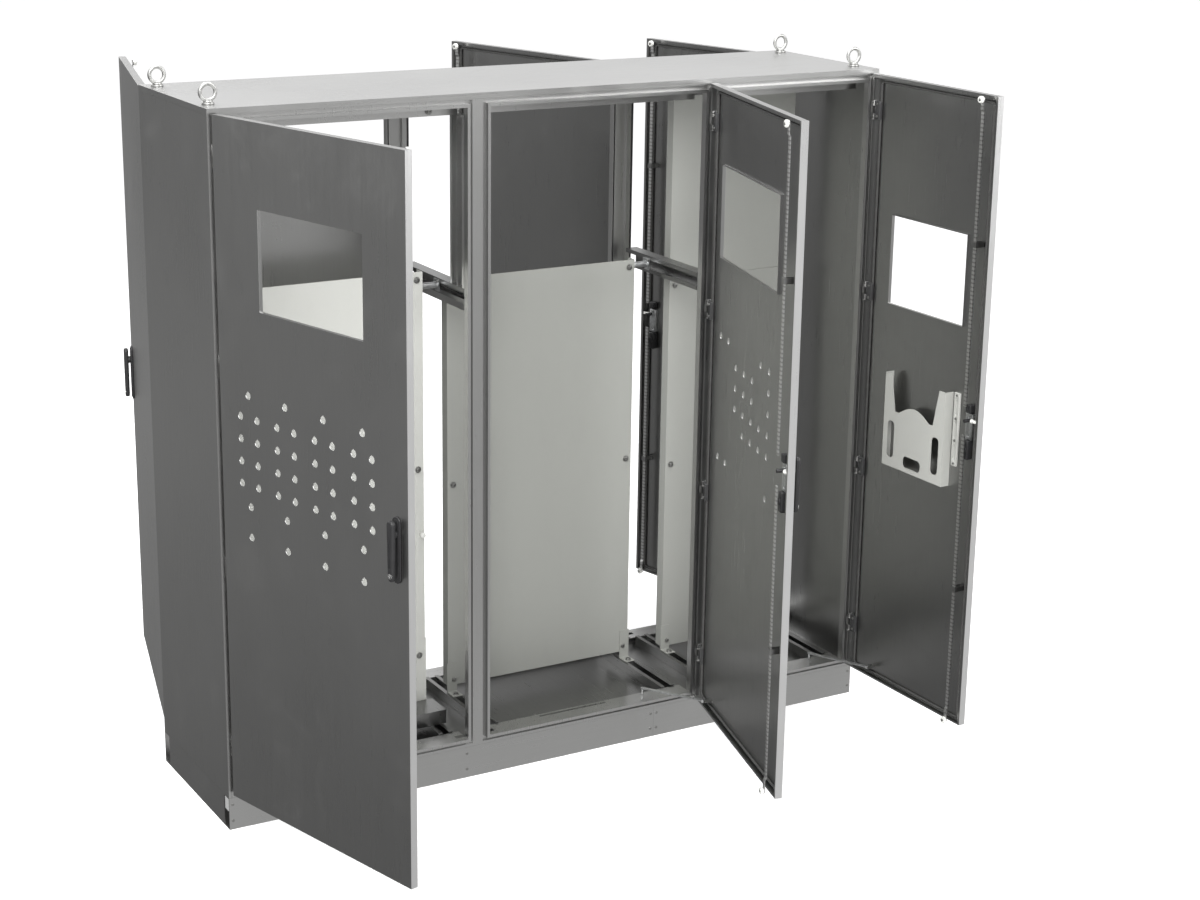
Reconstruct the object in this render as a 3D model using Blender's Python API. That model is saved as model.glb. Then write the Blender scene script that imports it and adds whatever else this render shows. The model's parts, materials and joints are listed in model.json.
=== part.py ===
"""Three-bay steel enclosure for an industrial switchboard, doors at front and rear.

Metres, +Z up. The origin is on the floor, at the middle of the width and of the front
plinth's bottom flange. The front looks along -Y. Bays are counted from the left.
A door is drawn in its own terms: 'along' is the distance from its hinge edge, 'depth' is
0 at its inner side and LEAF_DEPTH at its outer side, and z is the height above the floor.
"""

import math

import bmesh
import bpy
from mathutils import Matrix, Vector

# ---- overall sizes
BAY_WIDTHS = (0.800, 0.800, 0.600)
WALL = 0.009  # side panel, over its folds
DEPTH = 0.550
HEIGHT = 2.100
PLINTH_HEIGHT = 0.100
PLINTH_FLANGE = 0.040
PLINTH_SHEET = 0.003
PLINTH_JOINT = 1.441  # from the left end to the joint in the front plinth
SHEET = 0.002
GAP = 0.0003  # between pieces that rest on each other
CUT = 0.002  # how far a cutter runs past what it cuts
FUSE = 0.0005  # how far two shapes of one piece run into each other
SMOOTH_BELOW = math.radians(35)

# ---- frames, measured inwards from the middle of a mullion
STRIP = 0.015  # flat strip between two doors, each side
GUTTER_END = 0.028
LIP_END = 0.037
GUTTER_DEPTH = 0.010
LIP_RISE = 0.010  # the sealing lip stands this far in front of the strip
SIDE_RETURN = 0.013  # depth of an upright's lip
RETURN_DEPTH = 0.060  # depth of the lintels and sills
ROOF_FOLD = 0.017
SILL_DROP = 0.007  # the bottom lip is this much closer to the plinth
HEADER = 0.028  # flange that hangs at the back of a lintel
EDGE_FOLD = 0.040

# ---- doors
LEAF_DEPTH = 0.022
LEAF_SIDE_GAP = 0.0035
LEAF_BOTTOM = 0.014  # above the plinth
LEAF_TOP = 0.013  # below the top of the roof
LEAF_STANDOFF = 0.003
LEAF_LIP = 0.010
LEAF_BOTTOM_LIP = 0.0055  # clears the sealing lip
PIVOT_ALONG = 0.006
PIVOT_DEPTH = 0.014
HINGES_UP = (0.148, 0.6965)  # above the bottom of the leaf
HINGES_DOWN = (0.6925, 0.1125)  # below the top of the leaf
HINGE_HALF = 0.030
KNUCKLE_RADIUS = 0.004
KNUCKLE_HALF = 0.012
KNUCKLE_GAP = 0.001
ARM_OFFSET = 0.0025
ARM_HALF = 0.0015
REVEAL = 0.011
REVEAL_SHEET = 0.0015
# each front door: hinge side, opening angle, from the top down to the window, and the
# window's height and its two sides, measured from the hinge edge
FRONT_DOORS = (
    ("left", 75.0, 0.230, 0.277, 0.1895, 0.6233),
    ("right", 75.0, 0.230, 0.280, 0.1031, 0.6201),
    ("right", 91.0, 0.428, 0.282, 0.1180, 0.4803),
)
REAR_DOORS = (("left", 76.0), ("right", 75.0), ("right", 77.0))

# ---- holes for push-buttons and lamps
HOLE_RADIUS = 0.01125
HOLE_SIDES = 12
KEY_HALF, KEY_RISE = 0.0016, 0.0018  # the notch at a hole's top
HOLE_PITCH = 0.0637
HOLES_BELOW_WINDOW = 0.242
GROUP_CENTRES = (0.1269, 0.2894, 0.4520, 0.6138)  # door 1, from the hinge edge
GROUP_HALF = 0.037
GROUP_ROWS = (0, 1, 2, 3, 4)
LOW_SINGLES = (0.317, 0.405)  # below the first row
# door 2: its columns, then rows below the first, in pitches, with the columns used
COLUMNS = (0.1086, 0.1824, 0.2577, 0.3339, 0.4084, 0.4806, 0.5551)
SECOND_DOOR_ROWS = (
    (0, (0, 1, 5, 6)),
    (1, (2, 3, 4, 6)),
    (2, (2, 3, 4, 6)),
    (3, (2, 3, 4, 5, 6)),
    (4, (3, 4, 5, 6)),
    (6, (0, 1, 6)),
)

# ---- handles, locking rods and rollers
HANDLE_FROM_EDGE = 0.043
SPINDLE_RISE = 0.9859  # above the bottom of the leaf
HANDLE_UP, HANDLE_DOWN = 0.039, 0.126
HANDLE_WIDTH = 0.026
HANDLE_STANDOFF = 0.012
HANDLE_THICK = 0.016
HANDLE_TAPER = 0.8  # width of its lower end, of the upper
NECK_RADIUS, NECK_SIDES, NECK_CLEARANCE = 0.0117, 16, 0.001
SPINDLE_RADIUS = 0.006
SPINDLE_CLEARANCE = 0.001
SPINDLE_END = -0.018
ROD_FROM_EDGE = 0.047
ROD_WIDTH = 0.012
ROD_NEAR, ROD_FAR = -0.016, -0.012  # depths of the rod's two faces
ROD_MIDDLE_GAP = 0.045
ARM_NEAR, ARM_FAR = -0.0195, -0.0165
ROLLER_RADIUS = 0.010
ROLLER_SIDES = 14
ROLLER_NEAR = -0.0295
ARM_PAST_ROLLER = 0.006
ROLLER_TOP = 0.0125  # below the top of the leaf
ROLLER_BOTTOM = 0.0075  # above the bottom of the leaf
CRANK = 0.045  # from the end of the leaf to the crank
CRANK_HALF, CRANK_OVERLAP = 0.004, 0.002
ROD_STROKE = 0.032
GUIDE_HALF = 0.010  # bracket that carries a rod, half its width
GUIDE_SHEET = 0.002
GUIDE_CLEARANCE = 0.001
GUIDE_HEIGHT = 0.016
GUIDE_FROM_END = 0.444  # from the end of the leaf
SLOT_SIDE = 0.006  # clearance beside a roller
SLOT_REAR = 0.0045  # clearance behind a roller

# ---- door stays
STAY_ALONG = 0.130
STAY_DEPTH = -0.012
STAY_LENGTH = 0.211
STAY_WIDTH = 0.012
STAY_THICK = 0.004
STAY_ABOVE_LEAF = 0.036
STAY_PIN = 0.003
PIN_STANDS = 0.002  # above the stay
BRACKET_HALF, BRACKET_PAST_PIN = 0.014, 0.008
STAY_PIN_CLEARANCE = 0.0008
PIN_SIDES = 8
STAY_ANGLES = {2: 124.0, 3: 117.9}  # direction from the door's pin, at rest
STAY_TRACKS = {2: (0.320, 0.560), 3: (0.240, 0.420)}  # start and end, from the hinge side
TRACK_MIDDLE, TRACK_WIDTH = 0.045, 0.010

# ---- mounting plates and inner panels
PLATE_INSET = 0.067
PLATE_SHEET = 0.0025
PLATE_FOLD = 0.036
# front face, bottom above the plinth, top below the roof's top
PLATES = ((0.230, 0.210, 0.554), (0.340, 0.058, 0.610), (0.340, 0.046, 0.685))
FOOT_WIDTH = 0.034
FOOT_REACH = 0.045
FOOT_RISE = 0.075
SPACER_RADIUS, SPACER_SIDES = 0.010, 16  # between a plate's corner and the rail beside it
SPACER_FLANGE, FLANGE_HALF = 0.004, 0.018
# top and bottom below the roof
UPPER_PANELS = {1: (0.240, 0.620), 3: (0.100, 0.684)}
UPPER_FROM_REAR, UPPER_FOLD = 0.130, 0.100  # of the grey panel in bay 1

# ---- rails
RAIL_WIDTH, RAIL_HEIGHT, RAIL_SHEET, RAIL_LIP = 0.048, 0.032, 0.0025, 0.013
RAIL_INSET = 0.080
FLOOR_SHEET = 0.002
DEPTH_RAIL_WIDTH = 0.040
DEPTH_RAILS = ((0.580, 0.045), (0.605, 0.055))  # drop below the roof, height
BAND_HEIGHT = 0.040
CHANNEL_FRONT, CHANNEL_DEPTH, CHANNEL_TOP_DROP = 0.070, 0.090, 0.080
BOX_FRONT, BOX_DEPTH, BOX_HEIGHT = 0.125, 0.100, 0.045
BOX_INSET = 0.046

# ---- document holder on door 3, from the bottom of the window down
HOLDER_ALONG = (0.156, 0.451)
HOLDER_DROP = 0.515
HOLDER_EAR, HOLDER_LOW, HOLDER_HUMP = 0.302, 0.184, 0.213
HOLDER_EAR_WIDTH, HOLDER_SLOPE = 0.030, 0.024  # an ear's top, and how much it widens
HOLDER_DIP = 0.020  # flat between an ear and the hump
# slots: middle from the left side, width, bottom and top above the base
HOLDER_SLOTS = (
    (0.038, 0.034, 0.030, 0.150),
    (0.1475, 0.086, 0.014, 0.052),
    (0.257, 0.034, 0.030, 0.150),
)
HOLDER_CORNER = 0.014
HOLDER_FRONT = -0.012
HOLDER_SHEET = 0.0015

# ---- lifting eyes
EYE_INSET = 0.037
EYE_FRONT, EYE_REAR = 0.087, 0.055
EYE_RING, EYE_WIRE = 0.022, 0.0055
EYE_BASE = 0.018
EYE_BASE_HEIGHT = 0.007
EYE_SUNK = 0.002  # how far the ring runs into its base
EYE_SIDES, EYE_WIRE_SIDES = 20, 8

# ---- derived places
EDGES = [WALL]
for bay_width in BAY_WIDTHS:
    EDGES.append(EDGES[-1] + bay_width)
WIDTH = EDGES[-1] + WALL
SHIFT = Vector((-WIDTH / 2, -PLINTH_FLANGE / 2, 0.0))
LEAF_LOW = PLINTH_HEIGHT + LEAF_BOTTOM
LEAF_HIGH = HEIGHT - LEAF_TOP
FRAME_LOW = PLINTH_HEIGHT + GAP
FRAME_HIGH = HEIGHT - ROOF_FOLD - GAP
RING_LOW = PLINTH_HEIGHT - SILL_DROP
RING_HIGH = FRAME_HIGH + STRIP
HINGE_HEIGHTS = [LEAF_LOW + rise for rise in HINGES_UP] + [LEAF_HIGH - drop for drop in HINGES_DOWN]
SPINDLE_Z = LEAF_LOW + SPINDLE_RISE
FLOOR_TOP = PLINTH_HEIGHT + GAP + FLOOR_SHEET
RAIL_BASE = FLOOR_TOP + GAP
RAIL_TOP = RAIL_BASE + RAIL_HEIGHT
INNER_FRONT = RETURN_DEPTH + GAP
INNER_REAR = DEPTH - RETURN_DEPTH - GAP
STAY_Z = LEAF_LOW + STAY_ABOVE_LEAF
SLOT_NEAR = GUTTER_DEPTH + SHEET + FUSE
SLOT_FAR = SLOT_REAR - ROLLER_NEAR - LEAF_STANDOFF

MATERIALS = {
    "satin_stainless": ((0.36, 0.36, 0.35), 0.34, 1.0),
    "plate_paint": ((0.72, 0.72, 0.69), 0.45, 0.0),
    "zinc": ((0.55, 0.56, 0.56), 0.38, 1.0),
    "black_plastic": ((0.02, 0.02, 0.02), 0.45, 0.0),
    "forged_steel": ((0.42, 0.42, 0.41), 0.35, 1.0),
}


def clear_scene():
    for thing in list(bpy.data.objects):
        bpy.data.objects.remove(thing, do_unlink=True)


clear_scene()
PARTS = bpy.data.collections.new("switchboard_cabinet")
CUTTERS = bpy.data.collections.new("cutters")
for collection in (PARTS, CUTTERS):
    bpy.context.scene.collection.children.link(collection)
CUTTERS.hide_render = True

for slot_name, (colour, roughness, metallic) in MATERIALS.items():
    material = bpy.data.materials.new(slot_name)
    material.use_nodes = True
    shader = material.node_tree.nodes["Principled BSDF"]
    shader.inputs["Base Color"].default_value = (*colour, 1.0)
    shader.inputs["Roughness"].default_value = roughness
    shader.inputs["Metallic"].default_value = metallic


# ---- shapes, each a closed mesh in a bmesh


def as_drawn(x, y, z):
    return (x, y, z)


def sideways(y, z, x):
    """For an outline seen along X."""
    return (x, y, z)


def upright(x, z, y):
    """For an outline seen along Y."""
    return (x, y, z)


def add_prism(shape, outline, low, high, place=as_drawn):
    """Extrudes an outline along its third direction, from low to high. place turns
    (first, second, third) into a point."""
    face = shape.faces.new([shape.verts.new(place(u, v, low)) for u, v in outline])
    extruded = bmesh.ops.extrude_face_region(shape, geom=[face], use_keep_orig=True)["geom"]
    far = [item for item in extruded if isinstance(item, bmesh.types.BMVert)]
    move = Vector(place(0.0, 0.0, high)) - Vector(place(0.0, 0.0, low))
    bmesh.ops.translate(shape, verts=far, vec=move)


def add_box(shape, low, high, place=as_drawn):
    cube = bmesh.ops.create_cube(shape, size=1.0)["verts"]
    for vert in cube:
        vert.co = place(*(b if share > 0 else a for a, b, share in zip(low, high, vert.co)))


def add_cylinder(shape, centre, radius, sides, low, high, place=as_drawn):
    cone = bmesh.ops.create_cone(
        shape, cap_ends=True, segments=sides, radius1=radius, radius2=radius, depth=high - low
    )
    middle = Vector((*centre, (low + high) / 2))
    for vert in cone["verts"]:
        vert.co = place(*(vert.co + middle))


def arc(centre, radius, start, end, steps):
    angles = [math.radians(start + (end - start) * i / steps) for i in range(steps + 1)]
    return [(centre[0] + radius * math.cos(a), centre[1] + radius * math.sin(a)) for a in angles]


def make(name, shape, material=None, parent=None, tool=False):
    """Turns a shape into an object with its faces looking outwards."""
    shape.normal_update()
    bmesh.ops.recalc_face_normals(shape, faces=shape.faces)
    mesh = bpy.data.meshes.new(name)
    shape.to_mesh(mesh)
    shape.free()
    mesh.shade_smooth()
    mesh.set_sharp_from_angle(angle=SMOOTH_BELOW)
    made = bpy.data.objects.new(name, mesh)
    (CUTTERS if tool else PARTS).objects.link(made)
    if tool:
        made.display_type = "WIRE"
        made.hide_render = True
    if material:
        mesh.materials.append(bpy.data.materials[material])
    if parent:
        made.parent = parent
    else:
        made.location = SHIFT
    return made


def combine(target, shape, operation, name):
    """Cuts the shape from the target, or joins it on."""
    helper = make(f"{name}_of_{target.name}", shape, parent=target.parent, tool=True)
    modifier = target.modifiers.new(name, "BOOLEAN")
    modifier.operation = operation
    modifier.solver = "EXACT"
    modifier.object = helper
    return modifier


def boxed(low, high, place=as_drawn):
    shape = bmesh.new()
    add_box(shape, low, high, place)
    return shape


def tray(name, low, high, sheet, open_side, material):
    """A folded sheet: a box with one side open. open_side is an axis and a direction."""
    axis, direction = open_side
    result = make(name, boxed(low, high), material)
    inner_low = [a + sheet for a in low]
    inner_high = [b - sheet for b in high]
    if direction > 0:
        inner_high[axis] = high[axis] + CUT
    else:
        inner_low[axis] = low[axis] - CUT
    combine(result, boxed(inner_low, inner_high), "DIFFERENCE", "hollow")
    return result


# ---- the cabinet's fixed pieces


def build_roof_and_walls():
    tray("roof", (0, 0, HEIGHT - ROOF_FOLD), (WIDTH, DEPTH, HEIGHT), SHEET, (2, -1), "satin_stainless")
    low, high = FRAME_LOW, HEIGHT - ROOF_FOLD - GAP
    depth = WALL - GAP
    tray("left_wall", (0, 0, low), (depth, DEPTH, high), SHEET, (0, 1), "satin_stainless")
    tray("right_wall", (WIDTH - depth, 0, low), (WIDTH, DEPTH, high), SHEET, (0, -1), "satin_stainless")
    front, rear = EDGE_FOLD + GAP, DEPTH - EDGE_FOLD - GAP
    floor = boxed((WALL + GAP, front, FRAME_LOW), (WIDTH - WALL - GAP, rear, FLOOR_TOP))
    make("floor_plate", floor, "satin_stainless")


def from_the_rear(x, y, z):
    return (x, DEPTH - y, z)


def frame_place(rear):
    """Puts a point of the frame, drawn for the front, at the front or at the rear."""
    return from_the_rear if rear else as_drawn


def add_ring(shape, left, right, low, high, profile, place):
    """Turns a closed profile of (inset, y) through four quarters, which makes a square
    ring with mitred corners, and moves its upper and lower halves apart to the height."""
    half = (right - left) / 2
    stretch = (high - low) / 2 - half
    middle = Vector(((left + right) / 2, 0.0, (low + high) / 2))
    ring = bmesh.new()
    points = [ring.verts.new((half - inset, y, half - inset)) for inset, y in profile]
    edges = [ring.edges.new(pair) for pair in zip(points, points[1:] + points[:1])]
    bmesh.ops.spin(
        ring, geom=points + edges, axis=(0, 1, 0), cent=(0, 0, 0), angle=2 * math.pi, steps=4, use_merge=True
    )
    for vert in ring.verts:
        spread = Vector((0.0, 0.0, math.copysign(stretch, vert.co.z)))
        vert.co = place(*(round(value, 6) for value in vert.co + spread + middle))
    mesh = bpy.data.meshes.new("ring")
    ring.to_mesh(mesh)
    ring.free()
    shape.from_mesh(mesh)
    bpy.data.meshes.remove(mesh)


def hinge_edge(bay, side):
    """The x of the leaf's hinge edge, and the direction in which the leaf runs from it."""
    if side == "left":
        return EDGES[bay] + LEAF_SIDE_GAP, 1
    return EDGES[bay + 1] - LEAF_SIDE_GAP, -1


def leaf_width(bay):
    return BAY_WIDTHS[bay] - 2 * LEAF_SIDE_GAP


def build_frame(name, rear, sides):
    place = frame_place(rear)
    left, right = WALL + GAP, WIDTH - WALL - GAP
    frame = make(name, boxed((left, 0, FRAME_LOW), (right, SHEET, FRAME_HIGH), place), "satin_stainless")
    holes = bmesh.new()
    inset = STRIP + SHEET / 2
    for bay in range(3):
        low = (EDGES[bay] + inset, -CUT, RING_LOW + inset)
        high = (EDGES[bay + 1] - inset, SHEET + CUT, RING_HIGH - inset)
        add_box(holes, low, high, place)
    combine(frame, holes, "DIFFERENCE", "bays")

    thick = SHEET
    profile = (
        (STRIP, 0.0),
        (STRIP + thick, 0.0),
        (STRIP + thick, GUTTER_DEPTH),
        (GUTTER_END, GUTTER_DEPTH),
        (GUTTER_END, -LIP_RISE),
        (LIP_END, -LIP_RISE),
        (LIP_END, SIDE_RETURN),
        (LIP_END - thick, SIDE_RETURN),
        (LIP_END - thick, thick - LIP_RISE),
        (GUTTER_END + thick, thick - LIP_RISE),
        (GUTTER_END + thick, GUTTER_DEPTH + thick),
        (STRIP, GUTTER_DEPTH + thick),
    )
    rings = bmesh.new()
    for bay in range(3):
        add_ring(rings, EDGES[bay], EDGES[bay + 1], RING_LOW, RING_HIGH, profile, place)
    combine(frame, rings, "UNION", "gutters")

    folds = bmesh.new()
    outline = (
        (left, FRAME_HIGH),
        (left, FRAME_LOW),
        (right, FRAME_LOW),
        (right, FRAME_HIGH),
        (right - thick, FRAME_HIGH),
        (right - thick, FRAME_LOW + thick),
        (left + thick, FRAME_LOW + thick),
        (left + thick, FRAME_HIGH),
    )
    y0, y1 = (place(0.0, y, 0.0)[1] for y in (thick - FUSE, EDGE_FOLD))
    add_prism(folds, outline, y0, y1, upright)
    combine(frame, folds, "UNION", "folds")

    shelves = bmesh.new()
    start, end = SIDE_RETURN - 2 * FUSE, RETURN_DEPTH
    ceiling, sill = RING_HIGH - LIP_END, RING_LOW + LIP_END
    lintel = (
        (start, ceiling + GAP),
        (end - thick, ceiling + GAP),
        (end - thick, ceiling - HEADER),
        (end, ceiling - HEADER),
        (end, ceiling + thick - GAP),
        (start, ceiling + thick - GAP),
    )
    seen = [place(0.0, y, z)[1:] for y, z in lintel]
    for bay in range(3):
        x0, x1 = EDGES[bay] + LIP_END - FUSE, EDGES[bay + 1] - LIP_END + FUSE
        add_prism(shelves, seen, x0, x1, sideways)
        add_box(shelves, (x0, start, sill - thick + GAP), (x1, end, sill - GAP), place)
    combine(frame, shelves, "UNION", "lintels_and_sills")

    slots = bmesh.new()
    for bay in range(3):
        edge, way = hinge_edge(bay, sides[bay])
        middle = edge + way * (leaf_width(bay) - ROD_FROM_EDGE)
        for level in (sill, ceiling):
            low = (middle - ROLLER_RADIUS - SLOT_SIDE, SLOT_NEAR, level - 3 * thick)
            high = (middle + ROLLER_RADIUS + SLOT_SIDE, SLOT_FAR, level + 3 * thick)
            add_box(slots, low, high, place)
        if not rear and bay + 1 in STAY_ANGLES:
            x0, x1 = sorted(edge + way * (run - LEAF_SIDE_GAP) for run in STAY_TRACKS[bay + 1])
            y0, y1 = TRACK_MIDDLE - TRACK_WIDTH / 2, TRACK_MIDDLE + TRACK_WIDTH / 2
            add_box(slots, (x0, y0, sill - 2 * thick), (x1, y1, sill + thick))
    combine(frame, slots, "DIFFERENCE", "slots")

    knuckles = bmesh.new()
    for bay in range(3):
        edge, way = hinge_edge(bay, sides[bay])
        centre = (edge + way * PIVOT_ALONG, -(LEAF_STANDOFF + PIVOT_DEPTH))
        near, far = (way * (ARM_OFFSET - ARM_HALF), way * (ARM_OFFSET + ARM_HALF))
        offset_near, offset_far = centre[0] + near, centre[0] + far
        start = math.degrees(math.asin((ARM_OFFSET - ARM_HALF) / KNUCKLE_RADIUS))
        end = math.degrees(math.asin((ARM_OFFSET + ARM_HALF - FUSE) / KNUCKLE_RADIUS))
        round_part = arc((0, 0), KNUCKLE_RADIUS, 90 - start, 90 - end + 360, 10)
        outline = [(centre[0] + way * u, centre[1] + v) for u, v in round_part]
        outline += [(offset_far, SHEET / 2), (offset_near, SHEET / 2)]
        for height in HINGE_HEIGHTS:
            low, high = height - KNUCKLE_HALF, height + KNUCKLE_HALF
            add_prism(knuckles, outline, low, high, place)
    combine(frame, knuckles, "UNION", "knuckles")


def channel_outline(width, height, sheet, lip):
    """A C-rail seen from its end, open at the top, standing on height 0."""
    half = width / 2
    return [
        (-half, 0),
        (half, 0),
        (half, height),
        (half - lip, height),
        (half - lip, height - sheet),
        (half - sheet, height - sheet),
        (half - sheet, sheet),
        (-half + sheet, sheet),
        (-half + sheet, height - sheet),
        (-half + lip, height - sheet),
        (-half + lip, height),
        (-half, height),
    ]


def build_plinth():
    flange, sheet = PLINTH_FLANGE, PLINTH_SHEET
    top = PLINTH_HEIGHT
    outline = [
        (0, 0),
        (flange, 0),
        (flange, sheet),
        (sheet, sheet),
        (sheet, top - sheet),
        (flange, top - sheet),
        (flange, top),
        (0, top),
    ]
    runs = (
        ("plinth_front_left", 0.0, PLINTH_JOINT - GAP, False),
        ("plinth_front_right", PLINTH_JOINT, WIDTH, False),
        ("plinth_rear", 0.0, WIDTH, True),
    )
    for name, start, end, rear in runs:
        place = frame_place(rear)
        shape = bmesh.new()
        seen = [place(0.0, y, z)[1:] for y, z in outline]
        add_prism(shape, seen, start, end, sideways)
        make(name, shape, "satin_stainless")
    for name, right in (("plinth_left", False), ("plinth_right", True)):
        shape = bmesh.new()
        seen = [(WIDTH - u, z) for u, z in outline] if right else outline
        add_prism(shape, seen, flange + GAP, DEPTH - flange - GAP, upright)
        make(name, shape, "satin_stainless")


def build_rails():
    outline = channel_outline(RAIL_WIDTH, RAIL_HEIGHT, RAIL_SHEET, RAIL_LIP)
    for bay in range(3):
        middle = (EDGES[bay] + EDGES[bay + 1]) / 2
        reach = BAY_WIDTHS[bay] / 2 - RAIL_INSET
        for side, sign in (("left", -1), ("right", 1)):
            shape = bmesh.new()
            x = middle + sign * reach
            seen = [(x + u, RAIL_BASE + w) for u, w in outline]
            add_prism(shape, seen, INNER_FRONT, INNER_REAR, upright)
            make(f"floor_rail_{bay + 1}_{side}", shape, "satin_stainless")

    for count, (drop, height) in enumerate(DEPTH_RAILS, 1):
        outline = channel_outline(height, DEPTH_RAIL_WIDTH, RAIL_SHEET, RAIL_LIP)
        right = EDGES[count] + 0.75 * DEPTH_RAIL_WIDTH
        shape = bmesh.new()
        seen = [(right - w, HEIGHT - drop - height / 2 + u) for u, w in outline]
        add_prism(shape, seen, INNER_FRONT, INNER_REAR, upright)
        make(f"depth_rail_{count}", shape, "satin_stainless")
    top = HEIGHT - DEPTH_RAILS[0][0]
    base = top - DEPTH_RAILS[0][1]
    band_right = EDGES[1] + 0.75 * DEPTH_RAIL_WIDTH
    low = (band_right - RAIL_SHEET, INNER_FRONT, base - GAP - BAND_HEIGHT)
    make("depth_band", boxed(low, (band_right, INNER_REAR, base - GAP)), "satin_stainless")

    # two slots one behind the other, open to the left
    sheet, lip = RAIL_SHEET, RAIL_LIP
    x0, x1 = band_right - DEPTH_RAIL_WIDTH, band_right
    y0, y1 = CHANNEL_FRONT, CHANNEL_FRONT + CHANNEL_DEPTH
    rib_near, rib_far = (y0 + y1 - sheet) / 2, (y0 + y1 + sheet) / 2
    outline = [
        (x0, y0),
        (x0, y0 + lip),
        (x0 + sheet, y0 + lip),
        (x0 + sheet, y0 + sheet),
        (x1 - sheet, y0 + sheet),
        (x1 - sheet, rib_near),
        (x0, rib_near),
        (x0, rib_far),
        (x1 - sheet, rib_far),
        (x1 - sheet, y1 - sheet),
        (x0 + sheet, y1 - sheet),
        (x0 + sheet, y1 - lip),
        (x0, y1 - lip),
        (x0, y1),
        (x1, y1),
        (x1, y0),
    ]
    shape = bmesh.new()
    add_prism(shape, outline, top + GAP, HEIGHT - CHANNEL_TOP_DROP)
    make("upright_channel", shape, "satin_stainless")

    low = (EDGES[0] + BOX_INSET, BOX_FRONT, RAIL_TOP + GAP)
    high = (EDGES[1] - BOX_INSET, BOX_FRONT + BOX_DEPTH, RAIL_TOP + GAP + BOX_HEIGHT)
    tray("floor_box", low, high, SHEET, (2, -1), "satin_stainless")


def build_plates():
    for bay, (front, bottom_rise, top_drop) in enumerate(PLATES):
        left, right = EDGES[bay] + PLATE_INSET, EDGES[bay + 1] - PLATE_INSET
        bottom, top = PLINTH_HEIGHT + bottom_rise, HEIGHT - top_drop
        name = f"mounting_plate_{bay + 1}"
        sheet, fold = PLATE_SHEET, PLATE_FOLD
        outline = [
            (left, front + fold),
            (left, front),
            (right, front),
            (right, front + fold),
            (right - sheet, front + fold),
            (right - sheet, front + sheet),
            (left + sheet, front + sheet),
            (left + sheet, front + fold),
        ]
        shape = bmesh.new()
        add_prism(shape, outline, bottom, top)
        plate = make(name, shape, "plate_paint")

        # brackets from the plate down to the floor rails
        feet = bmesh.new()
        middle, reach = (left + right) / 2, BAY_WIDTHS[bay] / 2 - RAIL_INSET
        base = RAIL_TOP + GAP
        for sign in (-1, 1):
            x0, x1 = (middle + sign * reach + w for w in (-FOOT_WIDTH / 2, FOOT_WIDTH / 2))
            foot = [
                (front - FOOT_REACH, base),
                (front + FUSE, base),
                (front + FUSE, bottom + FOOT_RISE),
                (front - sheet, bottom + FOOT_RISE),
                (front - sheet, base + sheet),
                (front - FOOT_REACH, base + sheet),
            ]
            if bay == 0:
                # this plate stands clear of the floor box, so its brackets are behind it
                deep = front + sheet
                foot = [
                    (deep + FOOT_REACH, base),
                    (deep - FUSE, base),
                    (deep - FUSE, bottom + FOOT_RISE),
                    (deep + sheet, bottom + FOOT_RISE),
                    (deep + sheet, base + sheet),
                    (deep + FOOT_REACH, base + sheet),
                ]
            add_prism(feet, foot, x0, x1, sideways)
        combine(plate, feet, "UNION", "feet")

    for bay, (drop, height) in enumerate(DEPTH_RAILS):
        level = HEIGHT - drop - height / 2
        start = EDGES[bay + 1] - PLATE_INSET + GAP
        end = EDGES[bay + 1] - 0.25 * DEPTH_RAIL_WIDTH - GAP
        y = PLATES[bay][0] + PLATE_FOLD / 2
        shape = bmesh.new()
        add_cylinder(shape, (y, level), SPACER_RADIUS, SPACER_SIDES, start, end, sideways)
        spacer = make(f"plate_spacer_{bay + 1}", shape, "zinc")
        low = (end - SPACER_FLANGE, y - FLANGE_HALF, level - FLANGE_HALF)
        high = (end - GAP, y + FLANGE_HALF, level + FLANGE_HALF)
        combine(spacer, boxed(low, high), "UNION", "flange")

    for bay, (top_drop, bottom_drop) in UPPER_PANELS.items():
        if bay == 1:
            inset, front, fold = LIP_END + GAP, DEPTH - UPPER_FROM_REAR, UPPER_FOLD
        else:
            # this panel carries on upwards from the mounting plate
            inset, front, fold = PLATE_INSET, PLATES[bay - 1][0], PLATE_FOLD
        left, right = EDGES[bay - 1] + inset, EDGES[bay] - inset
        rear, sheet = front + fold, SHEET
        outline = [
            (left, rear),
            (left, front),
            (right, front),
            (right, rear),
            (right - sheet, rear),
            (right - sheet, front + sheet),
            (left + sheet, front + sheet),
            (left + sheet, rear),
        ]
        shape = bmesh.new()
        add_prism(shape, outline, HEIGHT - bottom_drop, HEIGHT - top_drop)
        make(f"upper_panel_{bay}", shape, "satin_stainless" if bay == 1 else "plate_paint")


def build_eyes():
    for name, x in (("left", EYE_INSET), ("right", WIDTH - EYE_INSET)):
        for row, y in (("front", EYE_FRONT), ("rear", DEPTH - EYE_REAR)):
            base = HEIGHT + GAP
            shape = bmesh.new()
            add_cylinder(shape, (x, y), EYE_BASE, EYE_SIDES, base, base + EYE_BASE_HEIGHT)
            eye = make(f"lifting_eye_{row}_{name}", shape, "forged_steel")
            centre = Vector((x, y, base + EYE_BASE_HEIGHT + EYE_RING + EYE_WIRE - EYE_SUNK))
            ring = bmesh.new()
            start = Matrix.Translation(centre + Vector((EYE_RING, 0.0, 0.0)))
            wire = bmesh.ops.create_circle(ring, segments=EYE_WIRE_SIDES, radius=EYE_WIRE, matrix=start)
            edges = list({edge for vert in wire["verts"] for edge in vert.link_edges})
            bmesh.ops.spin(
                ring, geom=wire["verts"] + edges, axis=(0, 1, 0), cent=centre,
                angle=2 * math.pi, steps=EYE_SIDES, use_merge=True,
            )
            combine(eye, ring, "UNION", "ring")


# ---- doors


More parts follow.
